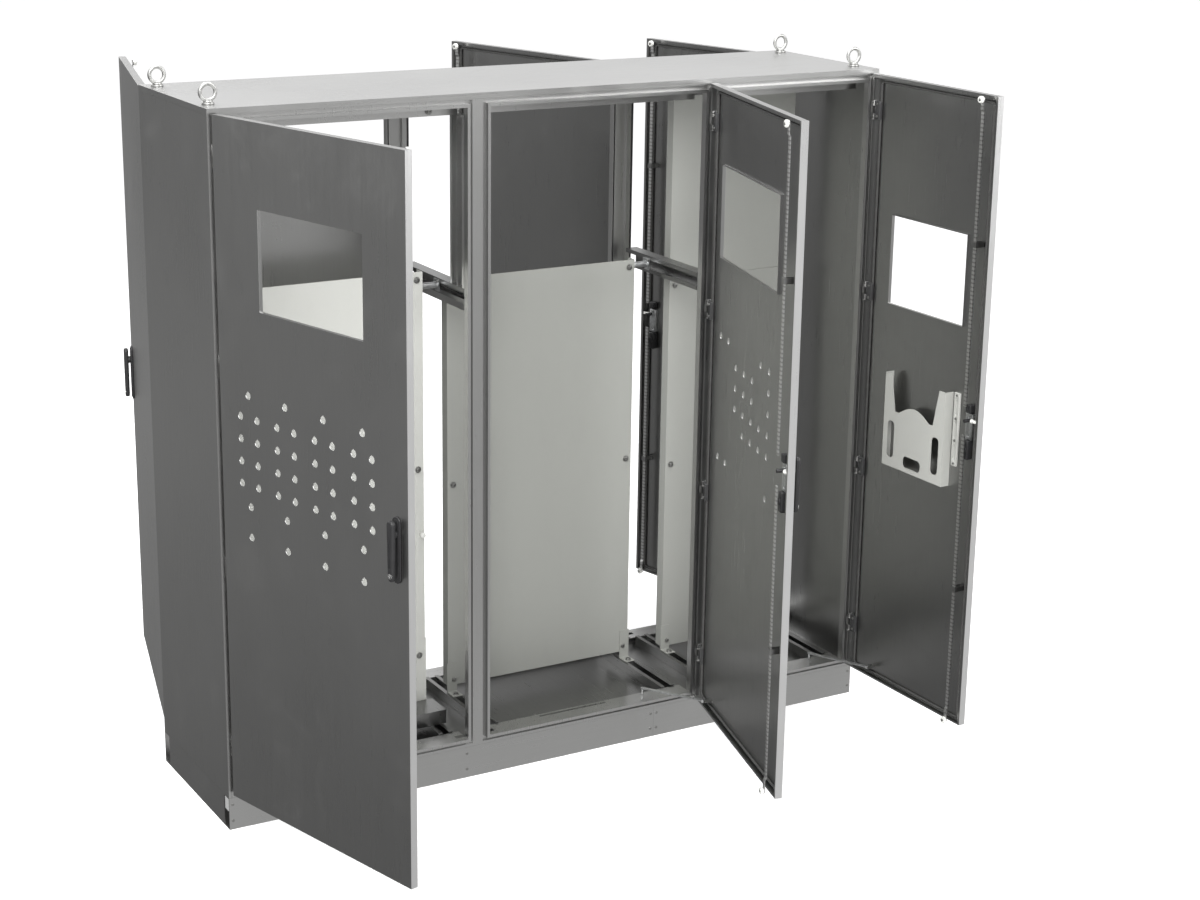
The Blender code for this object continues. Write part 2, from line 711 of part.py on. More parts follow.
class Door:
    """A door's place: its pivot, and how its own terms become local coordinates."""

    def __init__(self, name, bay, side, rear, angle):
        self.name, self.bay, self.side, self.rear = name, bay, side, rear
        edge, self.way = hinge_edge(bay, side)
        self.width = leaf_width(bay)
        self.out = 1 if rear else -1
        outer = DEPTH if rear else 0.0
        self.pivot = bpy.data.objects.new(f"{name}_pivot", None)
        PARTS.objects.link(self.pivot)
        x = edge + self.way * PIVOT_ALONG
        y = outer + self.out * (LEAF_STANDOFF + PIVOT_DEPTH)
        self.pivot.location = SHIFT + Vector((x, y, 0.0))
        self.pivot.rotation_euler[2] = math.radians(angle) * self.way * self.out

    def place(self, along, depth, z):
        return (self.way * (along - PIVOT_ALONG), self.out * (depth - PIVOT_DEPTH), z)

    def face_on(self, along, z, depth):
        """For an outline seen from outside the door."""
        return self.place(along, depth, z)

    def from_its_edge(self, depth, z, along):
        """For an outline seen from the door's edge."""
        return self.place(along, depth, z)

    def box(self, low, high):
        return boxed(low, high, self.place)


def window_of(number):
    """(along0, along1, z0, z1) of a front door's window."""
    drop, height, start, end = FRONT_DOORS[number][2:]
    top = LEAF_HIGH - drop
    return start, end, top - height, top


def keyed_hole(centre):
    """A round hole with a small notch at its top, which keeps a push-button upright."""
    along, z = centre
    side = math.degrees(math.asin(KEY_HALF / HOLE_RADIUS))
    notch = [(along + KEY_HALF, z + HOLE_RADIUS + KEY_RISE), (along - KEY_HALF, z + HOLE_RADIUS + KEY_RISE)]
    return arc(centre, HOLE_RADIUS, 90 + side, 450 - side, HOLE_SIDES) + notch


def hole_centres(number):
    """Centres of the push-button holes of a front door, as (along, z)."""
    bottom = window_of(number)[2]
    first = bottom - HOLES_BELOW_WINDOW
    if number == 0:
        for middle in GROUP_CENTRES:
            yield middle, first
            for row in GROUP_ROWS[1:]:
                yield middle - GROUP_HALF, first - row * HOLE_PITCH
                yield middle + GROUP_HALF, first - row * HOLE_PITCH
            for drop in LOW_SINGLES:
                yield middle, first - drop
    elif number == 1:
        for row, columns in SECOND_DOOR_ROWS:
            for column in columns:
                yield COLUMNS[column], first - row * HOLE_PITCH


def build_leaf(door, number):
    """number is the front door's index, or None for a rear door."""
    width, low, high, sheet = door.width, LEAF_LOW, LEAF_HIGH, SHEET
    leaf = make(door.name, door.box((0, 0, low), (width, LEAF_DEPTH, high)), "satin_stainless", door.pivot)
    hollow = door.box((sheet, sheet, low + sheet), (width - sheet, LEAF_DEPTH - sheet, high - sheet))
    combine(leaf, hollow, "DIFFERENCE", "hollow")
    lip = LEAF_LIP
    mouth = door.box((lip, -CUT, low + LEAF_BOTTOM_LIP), (width - lip, 2 * sheet, high - lip))
    combine(leaf, mouth, "DIFFERENCE", "mouth")

    notches = bmesh.new()
    for height in HINGE_HEIGHTS:
        z0, z1 = height - HINGE_HALF, height + HINGE_HALF
        end = LEAF_LIP + 2 * sheet
        add_box(notches, (-CUT, -CUT, z0), (end, LEAF_DEPTH - sheet, z1), door.place)
    combine(leaf, notches, "DIFFERENCE", "hinge_notches")

    joined = bmesh.new()
    back = LEAF_DEPTH - sheet + FUSE
    round_part = arc((PIVOT_ALONG, PIVOT_DEPTH), KNUCKLE_RADIUS, 180, 360, 7)
    outline = round_part + [(PIVOT_ALONG + KNUCKLE_RADIUS, back), (PIVOT_ALONG - KNUCKLE_RADIUS, back)]
    for height in HINGE_HEIGHTS:
        inner, outer = KNUCKLE_HALF + KNUCKLE_GAP, HINGE_HALF - KNUCKLE_GAP
        for z0, z1 in ((height + inner, height + outer), (height - outer, height - inner)):
            add_prism(joined, outline, z0, z1, door.place)
    if number in (1, 2):
        add_box(
            joined,
            (STAY_ALONG - BRACKET_HALF, STAY_DEPTH - BRACKET_PAST_PIN, STAY_Z - GAP - sheet),
            (STAY_ALONG + BRACKET_HALF, back, STAY_Z - GAP),
            door.place,
        )
    combine(leaf, joined, "UNION", "hinge_knuckles")

    guides = bmesh.new()
    middle = width - ROD_FROM_EDGE
    inner, wall = GUIDE_HALF - GUIDE_SHEET, GUIDE_SHEET
    front = ROD_NEAR - GUIDE_CLEARANCE
    outline = [
        (middle - GUIDE_HALF, back),
        (middle - GUIDE_HALF, front - wall),
        (middle + GUIDE_HALF, front - wall),
        (middle + GUIDE_HALF, back),
        (middle + inner, back),
        (middle + inner, front),
        (middle - inner, front),
        (middle - inner, back),
    ]
    for at in (low + GUIDE_FROM_END, high - GUIDE_FROM_END):
        add_prism(guides, outline, at - GUIDE_HEIGHT / 2, at + GUIDE_HEIGHT / 2, door.place)
    combine(leaf, guides, "UNION", "rod_guides")
    if number in (1, 2):
        pin = bmesh.new()
        centre = (STAY_ALONG, STAY_DEPTH)
        low_z, high_z = STAY_Z - GAP - sheet / 2, STAY_Z + STAY_THICK + PIN_STANDS
        add_cylinder(pin, centre, STAY_PIN, PIN_SIDES, low_z, high_z, door.place)
        combine(leaf, pin, "UNION", "stay_pin")

    if number is not None:
        a0, a1, z0, z1 = window_of(number)
        border = REVEAL_SHEET
        near, far = LEAF_DEPTH - REVEAL, LEAF_DEPTH - sheet + FUSE
        collar = door.box((a0 - border, near, z0 - border), (a1 + border, far, z1 + border))
        combine(leaf, collar, "UNION", "reveal")

    cuts = bmesh.new()
    spindle = (width - HANDLE_FROM_EDGE, SPINDLE_Z)
    near, far = LEAF_DEPTH - 2 * sheet, LEAF_DEPTH + CUT
    bore = SPINDLE_RADIUS + SPINDLE_CLEARANCE
    add_cylinder(cuts, spindle, bore, HOLE_SIDES, near, far, door.face_on)
    if number is not None:
        add_box(cuts, (a0, LEAF_DEPTH - REVEAL - CUT, z0), (a1, LEAF_DEPTH + CUT, z1), door.place)
        for centre in hole_centres(number):
            add_prism(cuts, keyed_hole(centre), near, far, door.face_on)
    combine(leaf, cuts, "DIFFERENCE", "openings")


def build_handle(door):
    """The lever outside and its spindle through the leaf, as one piece."""
    name = door.name.replace("door", "handle")
    empty = bpy.data.objects.new(f"{name}_axis", None)
    PARTS.objects.link(empty)
    empty.parent = door.pivot
    along = door.width - HANDLE_FROM_EDGE
    empty.location = door.place(along, LEAF_DEPTH, SPINDLE_Z)

    def place(a, z, t):
        return (door.way * a, door.out * t, z)

    half = HANDLE_WIDTH / 2
    shape = bmesh.new()
    top = HANDLE_UP - half
    outline = arc((0, top), half, 0, 180, 6) + arc((0, half - HANDLE_DOWN), half * HANDLE_TAPER, 180, 360, 6)
    add_prism(shape, outline, HANDLE_STANDOFF, HANDLE_STANDOFF + HANDLE_THICK, place)
    handle = make(name, shape, "black_plastic", empty)
    spindle = bmesh.new()
    end = SPINDLE_END - LEAF_DEPTH
    grip = HANDLE_STANDOFF + HANDLE_THICK / 4
    add_cylinder(spindle, (0, 0), SPINDLE_RADIUS, HOLE_SIDES, end, grip, place)
    combine(handle, spindle, "UNION", "spindle")
    neck = bmesh.new()
    add_cylinder(neck, (0, 0), NECK_RADIUS, NECK_SIDES, NECK_CLEARANCE, grip - FUSE, place)
    combine(handle, neck, "UNION", "neck")
    return handle


def build_rods(door):
    along = door.width - ROD_FROM_EDGE
    half = ROD_WIDTH / 2
    high_roller = LEAF_HIGH - ROLLER_TOP
    low_roller = LEAF_LOW + ROLLER_BOTTOM
    for which, sign, roller, leaf_end in (
        ("upper", 1, high_roller, LEAF_HIGH),
        ("lower", -1, low_roller, LEAF_LOW),
    ):
        start = SPINDLE_Z + sign * ROD_MIDDLE_GAP
        crank = leaf_end - sign * CRANK
        rise = sign * CRANK_HALF
        tip = roller + sign * ARM_PAST_ROLLER
        # side view of the flat bar with its crank, as (depth, z)
        outline = [
            (ROD_FAR, start),
            (ROD_NEAR, start),
            (ROD_NEAR, crank - rise),
            (ARM_NEAR, crank + rise),
            (ARM_NEAR, tip),
            (ARM_FAR, tip),
            (ARM_FAR, crank + rise + sign * CRANK_OVERLAP),
            (ROD_FAR, crank - rise + sign * CRANK_OVERLAP),
        ]
        shape = bmesh.new()
        add_prism(shape, outline, along - half, along + half, door.from_its_edge)
        name = door.name.replace("door", f"{which}_rod")
        rod = make(name, shape, "zinc", door.pivot)
        wheel = bmesh.new()
        centre = (along, roller)
        add_cylinder(wheel, centre, ROLLER_RADIUS, ROLLER_SIDES, ROLLER_NEAR, ARM_NEAR + FUSE, door.face_on)
        combine(rod, wheel, "UNION", "roller")


def build_stay(door, number):
    empty = bpy.data.objects.new(f"door_stay_{number}_axis", None)
    PARTS.objects.link(empty)
    empty.parent = door.pivot
    empty.location = door.place(STAY_ALONG, STAY_DEPTH, STAY_Z)
    turn = math.radians(STAY_ANGLES[number]) - door.pivot.rotation_euler[2]
    empty.rotation_euler[2] = turn
    half = STAY_WIDTH / 2
    outline = arc((0, 0), half, 90, 270, 6) + arc((STAY_LENGTH, 0), half, -90, 90, 6)
    shape = bmesh.new()
    add_prism(shape, outline, 0.0, STAY_THICK)
    stay = make(f"door_stay_{number}", shape, "zinc", empty)
    eye = bmesh.new()
    add_cylinder(eye, (0, 0), STAY_PIN + STAY_PIN_CLEARANCE, HOLE_SIDES, -CUT, STAY_THICK + CUT)
    combine(stay, eye, "DIFFERENCE", "eye")
    pin = bmesh.new()
    drop = RING_LOW + LIP_END + SHEET - STAY_Z
    add_cylinder(pin, (STAY_LENGTH, 0), STAY_PIN, PIN_SIDES, drop, STAY_THICK / 2)
    combine(stay, pin, "UNION", "track_pin")


def build_holder(door):
    window_bottom = window_of(2)[2]
    base = window_bottom - HOLDER_DROP
    a0, a1 = HOLDER_ALONG
    ear = HOLDER_EAR_WIDTH
    low, ears, hump = base + HOLDER_LOW, base + HOLDER_EAR, base + HOLDER_HUMP
    front = [(a0, base), (a1, base), (a1, ears), (a1 - ear, ears)]
    front.append((a1 - ear - HOLDER_SLOPE, low))
    steps = 8
    inset = ear + HOLDER_SLOPE + HOLDER_DIP
    start, end = a1 - inset, a0 + inset
    for i in range(steps + 1):
        share = i / steps
        rise = math.sin(math.pi * share)
        front.append((start + (end - start) * share, low + (hump - low) * rise))
    front += [(a0 + ear + HOLDER_SLOPE, low), (a0 + ear, ears), (a0, ears)]
    shape = bmesh.new()
    add_prism(shape, front, HOLDER_FRONT, HOLDER_FRONT + HOLDER_SHEET, door.face_on)
    holder = make("document_holder", shape, "plate_paint", door.pivot)
    thick = HOLDER_SHEET
    outline = [
        (a0, ears),
        (a0, base),
        (a1, base),
        (a1, ears),
        (a1 - thick, ears),
        (a1 - thick, base + thick),
        (a0 + thick, base + thick),
        (a0 + thick, ears),
    ]
    sides = bmesh.new()
    back = LEAF_DEPTH - SHEET - GAP
    add_prism(sides, outline, HOLDER_FRONT + FUSE, back, door.face_on)
    combine(holder, sides, "UNION", "sides")

    slots = bmesh.new()
    for middle, width, bottom, top in HOLDER_SLOTS:
        corner = HOLDER_CORNER
        left, right = a0 + middle - width / 2 + corner, a0 + middle + width / 2 - corner
        floor, roof = base + bottom + corner, base + top - corner
        outline = arc((right, roof), corner, 0, 90, 4) + arc((left, roof), corner, 90, 180, 4)
        outline += arc((left, floor), corner, 180, 270, 4) + arc((right, floor), corner, 270, 360, 4)
        add_prism(slots, outline, HOLDER_FRONT - CUT, HOLDER_FRONT + FUSE + CUT, door.face_on)
    combine(holder, slots, "DIFFERENCE", "slots")


def build_doors():
    for number, front in enumerate(FRONT_DOORS):
        door = Door(f"front_door_{number + 1}", number, front[0], False, front[1])
        build_leaf(door, number)
        build_handle(door)
        build_rods(door)
        if number + 1 in STAY_ANGLES:
            build_stay(door, number + 1)
        if number == 2:
            build_holder(door)
    for number, (side, angle) in enumerate(REAR_DOORS):
        door = Door(f"rear_door_{number + 1}", number, side, True, angle)
        build_leaf(door, None)
        build_handle(door)
        build_rods(door)


build_roof_and_walls()
build_frame("front_frame", False, [front[0] for front in FRONT_DOORS])
build_frame("rear_frame", True, [rear[0] for rear in REAR_DOORS])
build_plinth()
build_rails()
build_plates()
build_eyes()
build_doors()
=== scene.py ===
"""Looks for a three-bay steel switchboard cabinet: finishes, fittings, fixings and the studio."""

import json
import math

import bpy
from bpy.props import FloatProperty, FloatVectorProperty, PointerProperty
from mathutils import Matrix, Vector


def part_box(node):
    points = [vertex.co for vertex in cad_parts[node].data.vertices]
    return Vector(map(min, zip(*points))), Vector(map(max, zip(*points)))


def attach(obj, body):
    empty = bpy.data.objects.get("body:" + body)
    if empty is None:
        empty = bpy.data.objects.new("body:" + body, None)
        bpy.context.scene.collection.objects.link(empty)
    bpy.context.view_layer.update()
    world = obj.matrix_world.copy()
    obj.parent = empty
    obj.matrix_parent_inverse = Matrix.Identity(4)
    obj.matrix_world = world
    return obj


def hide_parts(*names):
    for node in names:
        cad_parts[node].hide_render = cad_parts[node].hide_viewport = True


bl_info = {
    "name": "Switchboard Cabinet",
    "version": (1, 0, 0),
    "blender": (4, 5, 0),
    "location": "View3D > Sidebar > Cabinet",
    "description": "Adds the finishes, fittings and studio of a three-bay switchboard cabinet",
    "category": "Object",
}

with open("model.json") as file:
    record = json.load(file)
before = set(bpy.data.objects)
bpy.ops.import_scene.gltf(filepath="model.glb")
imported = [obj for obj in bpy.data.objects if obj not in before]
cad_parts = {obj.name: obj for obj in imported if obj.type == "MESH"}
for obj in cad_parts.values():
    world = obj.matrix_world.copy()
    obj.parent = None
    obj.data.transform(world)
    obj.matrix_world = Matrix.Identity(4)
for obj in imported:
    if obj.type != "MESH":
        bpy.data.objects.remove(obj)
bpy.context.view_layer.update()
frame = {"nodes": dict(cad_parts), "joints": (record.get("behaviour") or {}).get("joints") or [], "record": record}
RECORD = frame["record"]
JOINTS = {joint["name"]: joint for joint in frame["joints"]}
FRONT_DOORS = ("front_door_1", "front_door_2", "front_door_3")
REAR_DOORS = ("rear_door_1", "rear_door_2", "rear_door_3")
DOORS = FRONT_DOORS + REAR_DOORS
PLATES = ("mounting_plate_1", "mounting_plate_2", "mounting_plate_3")
EYES = tuple(name for name in frame["nodes"] if name.startswith("lifting_eye"))
RECORD_MOUNTS = {mount["name"]: mount["pos_m"] for mount in RECORD["mounts"]}
PLATE_BOTTOMS = {"mounting_plate_1": 0.310, "mounting_plate_2": 0.158, "mounting_plate_3": 0.146}

# places on a leaf, which the frame's solids share
PIVOT_ALONG, PIVOT_DEPTH = 0.006, 0.014
STANDOFF = 0.003
HINGES_UP, HINGES_DOWN = (0.148, 0.6965), (0.6925, 0.1125)
SHEET = 0.002
ROD_FROM_EDGE = 0.047
ROLLER_NEAR, ROLLER_FAR = -0.0295, -0.0195
ROLLER_TOP, ROLLER_BOTTOM = 0.0125, 0.0075
GASKET_SIDE, GASKET_TOP, GASKET_BOTTOM = 0.029, 0.022, 0.0118
SMOOTH = math.radians(35)


# ---- sizes and colours a user would change


class SteelSettings(bpy.types.PropertyGroup):
    """The cabinet's stainless sheet."""

    colour: FloatVectorProperty(
        name="Colour",
        description="Reflected colour of the sheet",
        subtype="COLOR",
        default=(0.50, 0.50, 0.495),
    )
    roughness: FloatProperty(
        name="Roughness", description="Satin of the sheet", default=0.30, min=0.05, max=0.9
    )
    grain: FloatProperty(
        name="Grain", description="Depth of the brushed grain", default=0.10, min=0.0, max=1.0
    )


class FittingSettings(bpy.types.PropertyGroup):
    """Paint and small fittings."""

    paint: FloatVectorProperty(
        name="Plate paint",
        description="Powder coat of plates 2 and 3 and of the light upper panel",
        subtype="COLOR",
        default=(0.34, 0.345, 0.322),
    )
    # plate 1 gets a lighter copy of the plate paint than plates 2 and 3: painted light
    pale_paint: FloatVectorProperty(
        name="Pale paint",
        description="Powder coat of plate 1 and, a little darker, of the document holder",
        subtype="COLOR",
        default=(0.60, 0.605, 0.57),
    )
    bolt_radius: FloatProperty(
        name="Bolt radius",
        description="Half the width of a bolt head",
        default=0.0075,
        unit="LENGTH",
        min=0.003,
    )
    gasket_width: FloatProperty(
        name="Gasket width", description="Width of the foam seal", default=0.008, unit="LENGTH", min=0.004
    )
    gasket_height: FloatProperty(
        name="Gasket height", description="Height of the foam seal", default=0.0070, unit="LENGTH", min=0.004
    )
    lever_width: FloatProperty(
        name="Lever width", description="Width of a handle's lever", default=0.026, unit="LENGTH", min=0.01
    )


class StudioSettings(bpy.types.PropertyGroup):
    """Floor, light and camera."""

    floor: FloatVectorProperty(
        name="Floor", description="Colour of the floor", subtype="COLOR", default=(0.93, 0.93, 0.93)
    )
    focal_length: FloatProperty(
        name="Focal length", description="Lens in millimetres", default=67.5, min=10.0
    )
    key_power: FloatProperty(
        name="Key light", description="Power of the main soft light", default=470.0, min=0.0
    )


# ---- shader maths


class Field:
    """One socket in a node tree. Arithmetic on it adds Math nodes."""

    def __init__(self, maker, socket):
        self.maker, self.socket = maker, socket

    def _math(self, operation, *values):
        return self.maker.node("ShaderNodeMath", {"operation": operation}, values)

    def __add__(self, other):
        return self._math("ADD", self, other)

    def __sub__(self, other):
        return self._math("SUBTRACT", self, other)

    def __mul__(self, other):
        return self._math("MULTIPLY", self, other)

    def __rsub__(self, other):
        return self._math("SUBTRACT", other, self)

    __radd__ = __add__
    __rmul__ = __mul__

    def above(self, edge, softness):
        """0 below the edge and 1 above it, with a soft step."""
        return self.maker.node(
            "ShaderNodeMapRange",
            {"interpolation_type": "SMOOTHSTEP"},
            {"Value": self, "From Min": edge - softness, "From Max": edge + softness},
        )


class Maker:
    """Builds one material or world."""

    def __init__(self, owner):
        owner.use_nodes = True
        self.tree = owner.node_tree
        self.owner = owner

    def node(self, kind, settings=None, inputs=(), output=0):
        made = self.tree.nodes.new(kind)
        for key, value in (settings or {}).items():
            if key == "stops":
                self.set_stops(made.color_ramp, value)
            else:
                setattr(made, key, value)
        pairs = inputs.items() if isinstance(inputs, dict) else enumerate(inputs)
        for key, value in pairs:
            socket = made.inputs[key]
            if isinstance(value, Field):
                self.tree.links.new(value.socket, socket)
            else:
                socket.default_value = value
        return Field(self, made.outputs[output])

    @staticmethod
    def set_stops(ramp, stops):
        while len(ramp.elements) < len(stops):
            ramp.elements.new(0.5)
        for element, (position, colour) in zip(ramp.elements, stops):
            element.position = position
            element.color = (*colour, 1.0) if len(colour) == 3 else colour

    def place(self, scale=(1, 1, 1)):
        """Object coordinates, stretched."""
        coordinates = self.node("ShaderNodeTexCoord", output="Object")
        return self.node("ShaderNodeMapping", None, {"Vector": coordinates, "Scale": scale})

    def along(self, way, start):
        """Distance from a start in one direction, in Object coordinates."""
        way, start = Vector(way[:3]), Vector(start[:3])
        coordinates = self.node("ShaderNodeTexCoord", output="Object")
        reach = self.node(
            "ShaderNodeVectorMath", {"operation": "DOT_PRODUCT"}, {0: coordinates, 1: way}, output="Value"
        )
        return reach - start.dot(way)

    def noise(self, scale, detail=3.0, stretch=(1, 1, 1), roughness=0.5, distortion=0.0):
        return self.node(
            "ShaderNodeTexNoise",
            None,
            {
                "Vector": self.place(stretch),
                "Scale": scale,
                "Detail": detail,
                "Roughness": roughness,
                "Distortion": distortion,
            },
        )

    def mix(self, factor, first, second):
        """Mixes two colours."""
        made = self.tree.nodes.new("ShaderNodeMix")
        made.data_type = "RGBA"
        for index, value in ((0, factor), (6, first), (7, second)):
            if isinstance(value, Field):
                self.tree.links.new(value.socket, made.inputs[index])
            else:
                made.inputs[index].default_value = (*value, 1.0) if index else value
        return Field(self, made.outputs[2])

    def bump(self, height, strength, distance):
        inputs = {"Height": height, "Strength": strength, "Distance": distance}
        return self.node("ShaderNodeBump", None, inputs)

    def surface(self, **inputs):
        shader = self.tree.nodes["Principled BSDF"]
        for name, value in inputs.items():
            socket = shader.inputs[name.replace("_", " ")]
            if isinstance(value, Field):
                self.tree.links.new(value.socket, socket)
            elif isinstance(value, (tuple, list)) and len(value) == 3 and socket.type == "RGBA":
                socket.default_value = (*value, 1.0)
            else:
                socket.default_value = value


def shade(colour, factor):
    return tuple(min(1.0, channel * factor) for channel in colour)


def steel(name, along, darker=1.0, leaf=None):
    """Brushed stainless sheet. along is the grain's direction as an axis index. The factor after along scales the
    whole colour: below 1 it paints shade, above 1 it paints light, giving shaded and lit copies of the one steel.

    A leaf gets painted shade on its inner face and a painted highlight on its free edge.
    """
    settings = bpy.context.scene.cabinet_steel
    m = Maker(bpy.data.materials.new(name))
    across, length = 260.0, 5.0
    stretch = tuple(length if axis == along else across for axis in range(3))
    grain = m.noise(1.0, 4.0, stretch, 0.6)
    fine = m.noise(3.0, 2.0, stretch, 0.5)
    clouds = m.noise(1.7, 3.0, (1, 1, 0.7), 0.55)
    hands = m.noise(6.0, 5.0, (1, 1, 1), 0.65, 0.6).above(0.60, 0.10)
    base = tuple(settings.colour)
    # below 1 the factor paints shade onto this copy of the steel, above 1 it paints light
    tone = m.mix(clouds, shade(base, 0.90 * darker), shade(base, 1.08 * darker))
    tone = m.mix(grain * 0.30, tone, shade(base, 0.72 * darker))
    tone = m.mix(hands * 0.10, tone, shade((0.40, 0.395, 0.38), darker))
    if leaf:
        outside = m.along(leaf.matrix.col[1], leaf.matrix.col[3]).above(leaf.depth - 0.001, 0.0004)
        edge_highlight = m.along(leaf.matrix.col[0], leaf.matrix.col[3]).above(leaf.width - 0.001, 0.0004)
        # painted shade: everything but the leaf's outer face is darkened towards black
        tone = m.mix((1 - outside) * 0.30, tone, (0.0, 0.0, 0.0))
        # painted highlight: the leaf's free edge is lightened towards white
        tone = m.mix(edge_highlight * 0.80, tone, (0.96, 0.96, 0.96))
    rough = settings.roughness + (grain - 0.5) * 0.16 + (clouds - 0.5) * 0.10 + hands * 0.05
    lines = grain * 0.7 + fine * 0.3
    bump = m.bump(lines, settings.grain, 0.0004)
    m.surface(Base_Color=tone, Metallic=1.0, Roughness=rough, Normal=bump)
    return m.owner


def powder_coat(name, colour):
    """Half-matt powder coat with its orange peel."""
    m = Maker(bpy.data.materials.new(name))
    peel = m.noise(420.0, 2.0)
    clouds = m.noise(2.2, 3.0)
    dust = m.noise(9.0, 6.0, (1, 1, 0.4), 0.7).above(0.58, 0.14)
    tone = m.mix(clouds, shade(colour, 0.955), shade(colour, 1.03))
    tone = m.mix(dust * 0.10, tone, shade(colour, 0.80))
    rough = 0.40 + peel * 0.10 + dust * 0.08
    m.surface(Base_Color=tone, Roughness=rough, Metallic=0.0, Normal=m.bump(peel, 0.16, 0.0003))
    return m.owner


def zinc(name, colour=(0.56, 0.57, 0.57)):
    """Zinc plating with faint spangle and handling marks."""
    m = Maker(bpy.data.materials.new(name))
    cells = m.node(
        "ShaderNodeTexVoronoi", {"feature": "F1"}, {"Vector": m.place(), "Scale": 160.0}, output="Color"
    )
    spangle = m.node("ShaderNodeRGBToBW", None, (cells,))
    wear = m.noise(45.0, 5.0, (1, 1, 0.3), 0.6)
    tone = m.mix(spangle, shade(colour, 0.84), shade(colour, 1.12))
    tone = m.mix(wear.above(0.60, 0.12) * 0.35, tone, shade(colour, 0.62))
    m.surface(
        Base_Color=tone, Metallic=1.0, Roughness=0.30 + spangle * 0.12 + wear * 0.10,
        Normal=m.bump(wear, 0.12, 0.0003),
    )
    return m.owner


def banded_zinc(name):
    """Plated strip with a row of shallow stamped bands up its length, the bands darkened as painted shade."""
    m = Maker(bpy.data.materials.new(name))
    bands = m.node(
        "ShaderNodeTexWave", {"bands_direction": "Z", "wave_profile": "SIN"},
        {"Vector": m.place(), "Scale": 25.0, "Distortion": 0.0},
        output="Fac",
    )
    wear = m.noise(45.0, 5.0, (1, 1, 0.3), 0.6)
    colour = (0.70, 0.70, 0.69)
    # painted shade: the stamped bands are darkened towards black
    tone = m.mix(bands.above(0.72, 0.12) * 0.55, colour, shade(colour, 0.30))
    tone = m.mix(wear * 0.25, tone, shade(colour, 0.75))
    bump = m.bump(bands + wear * 0.2, 0.25, 0.0008)
    m.surface(Base_Color=tone, Metallic=1.0, Roughness=0.30 + wear * 0.16, Normal=bump)
    return m.owner


def moulding(name, colour, rough=0.42, bump=0.14):
    """Moulded plastic with a fine erosion texture and rubbed highlights."""
    m = Maker(bpy.data.materials.new(name))
    pores = m.noise(900.0, 2.0)
    rub = m.noise(38.0, 4.0).above(0.56, 0.16)
    tone = m.mix(rub * 0.5, colour, tuple(channel * 1.25 + 0.006 for channel in colour))
    m.surface(
        Base_Color=tone, Roughness=rough + pores * 0.12 - rub * 0.06, Normal=m.bump(pores, bump, 0.0002)
    )
    return m.owner


def foam(name):
    """Foamed seal, closed skin with pores."""
    m = Maker(bpy.data.materials.new(name))
    cells = m.node("ShaderNodeTexVoronoi", {"feature": "F1"}, {"Vector": m.place(), "Scale": 420.0})
    waves = m.noise(60.0, 4.0)
    tone = m.mix(waves, (0.040, 0.040, 0.039), (0.085, 0.085, 0.082))
    bump = m.bump(cells + waves * 0.6, 0.5, 0.0006)
    m.surface(Base_Color=tone, Roughness=0.78 + waves * 0.1, Normal=bump)
    return m.owner


def bright_metal(name, colour=(0.75, 0.75, 0.74), rough=0.16):
    """Turned and plated metal with fine scratches."""
    m = Maker(bpy.data.materials.new(name))
    scratches = m.noise(300.0, 3.0, (1, 1, 0.2))
    tone = m.mix(scratches, shade(colour, 0.90), colour)
    bump = m.bump(scratches, 0.06, 0.0002)
    m.surface(Base_Color=tone, Metallic=1.0, Roughness=rough + scratches * 0.12, Normal=bump)
    return m.owner


MATERIALS = {}


def material(name):
    """A finish by its name, made when it is first asked for."""
    if name in MATERIALS:
        return MATERIALS[name]
    settings = bpy.context.scene.cabinet_fittings
    makers = {
        "steel_upright": lambda: steel(name, 2),
        "steel_across": lambda: steel(name, 0),
        "steel_deep": lambda: steel(name, 1),
        # painted shade on the floor plates, inner walls and rails; painted light on the upright channel
        "steel_floor": lambda: steel(name, 1, 0.55),
        "steel_inner": lambda: steel(name, 2, 0.78),
        "rail_steel": lambda: steel(name, 1, 0.50),
        "channel_steel": lambda: steel(name, 2, 1.6),
        "plate_paint": lambda: powder_coat(name, tuple(settings.paint)),
        # plate 1, the document holder and its strip get lighter copies of the plate paint: painted light
        "pale_paint": lambda: powder_coat(name, tuple(settings.pale_paint)),
        "holder_paint": lambda: powder_coat(name, shade(tuple(settings.pale_paint), 0.75)),
        "rod_zinc": lambda: banded_zinc(name),
        "zinc": lambda: zinc(name),
        "forged": lambda: zinc(name, (0.44, 0.44, 0.43)),
        "bolt_metal": lambda: zinc(name, (0.34, 0.34, 0.33)),
        "black_moulding": lambda: moulding(name, (0.016, 0.016, 0.017)),
        "hinge_black": lambda: moulding(name, (0.040, 0.040, 0.041), 0.34, 0.10),
        "nylon": lambda: moulding(name, (0.74, 0.74, 0.71), 0.36, 0.08),
        "foam": lambda: foam(name),
        "bright": lambda: bright_metal(name),
    }
    MATERIALS[name] = makers[name]()
    return MATERIALS[name]


def finish_node(node, finish):
    """Puts a finish on a solid of the frame."""
    slots = frame["nodes"][node].material_slots
    for slot in slots:
        slot.link = "OBJECT"
        slot.material = material(finish)


# ---- modelling helpers


def fresh():
    """Object mode, nothing selected."""
    if bpy.context.object and bpy.context.object.mode != "OBJECT":
        bpy.ops.object.mode_set(mode="OBJECT")
    bpy.ops.object.select_all(action="DESELECT")


def only(piece):
    fresh()
    bpy.context.view_layer.objects.active = piece
    piece.select_set(True)
    return piece


def block(name, low, high):
    """A box between two corners, its place in its mesh."""
    fresh()
    middle = [(a + b) / 2 for a, b in zip(low, high)]
    bpy.ops.mesh.primitive_cube_add(size=1.0, location=middle)
    piece = bpy.context.object
    piece.name = name
    piece.scale = [b - a for a, b in zip(low, high)]
    bpy.ops.object.transform_apply(location=True, rotation=True, scale=True)
    return piece


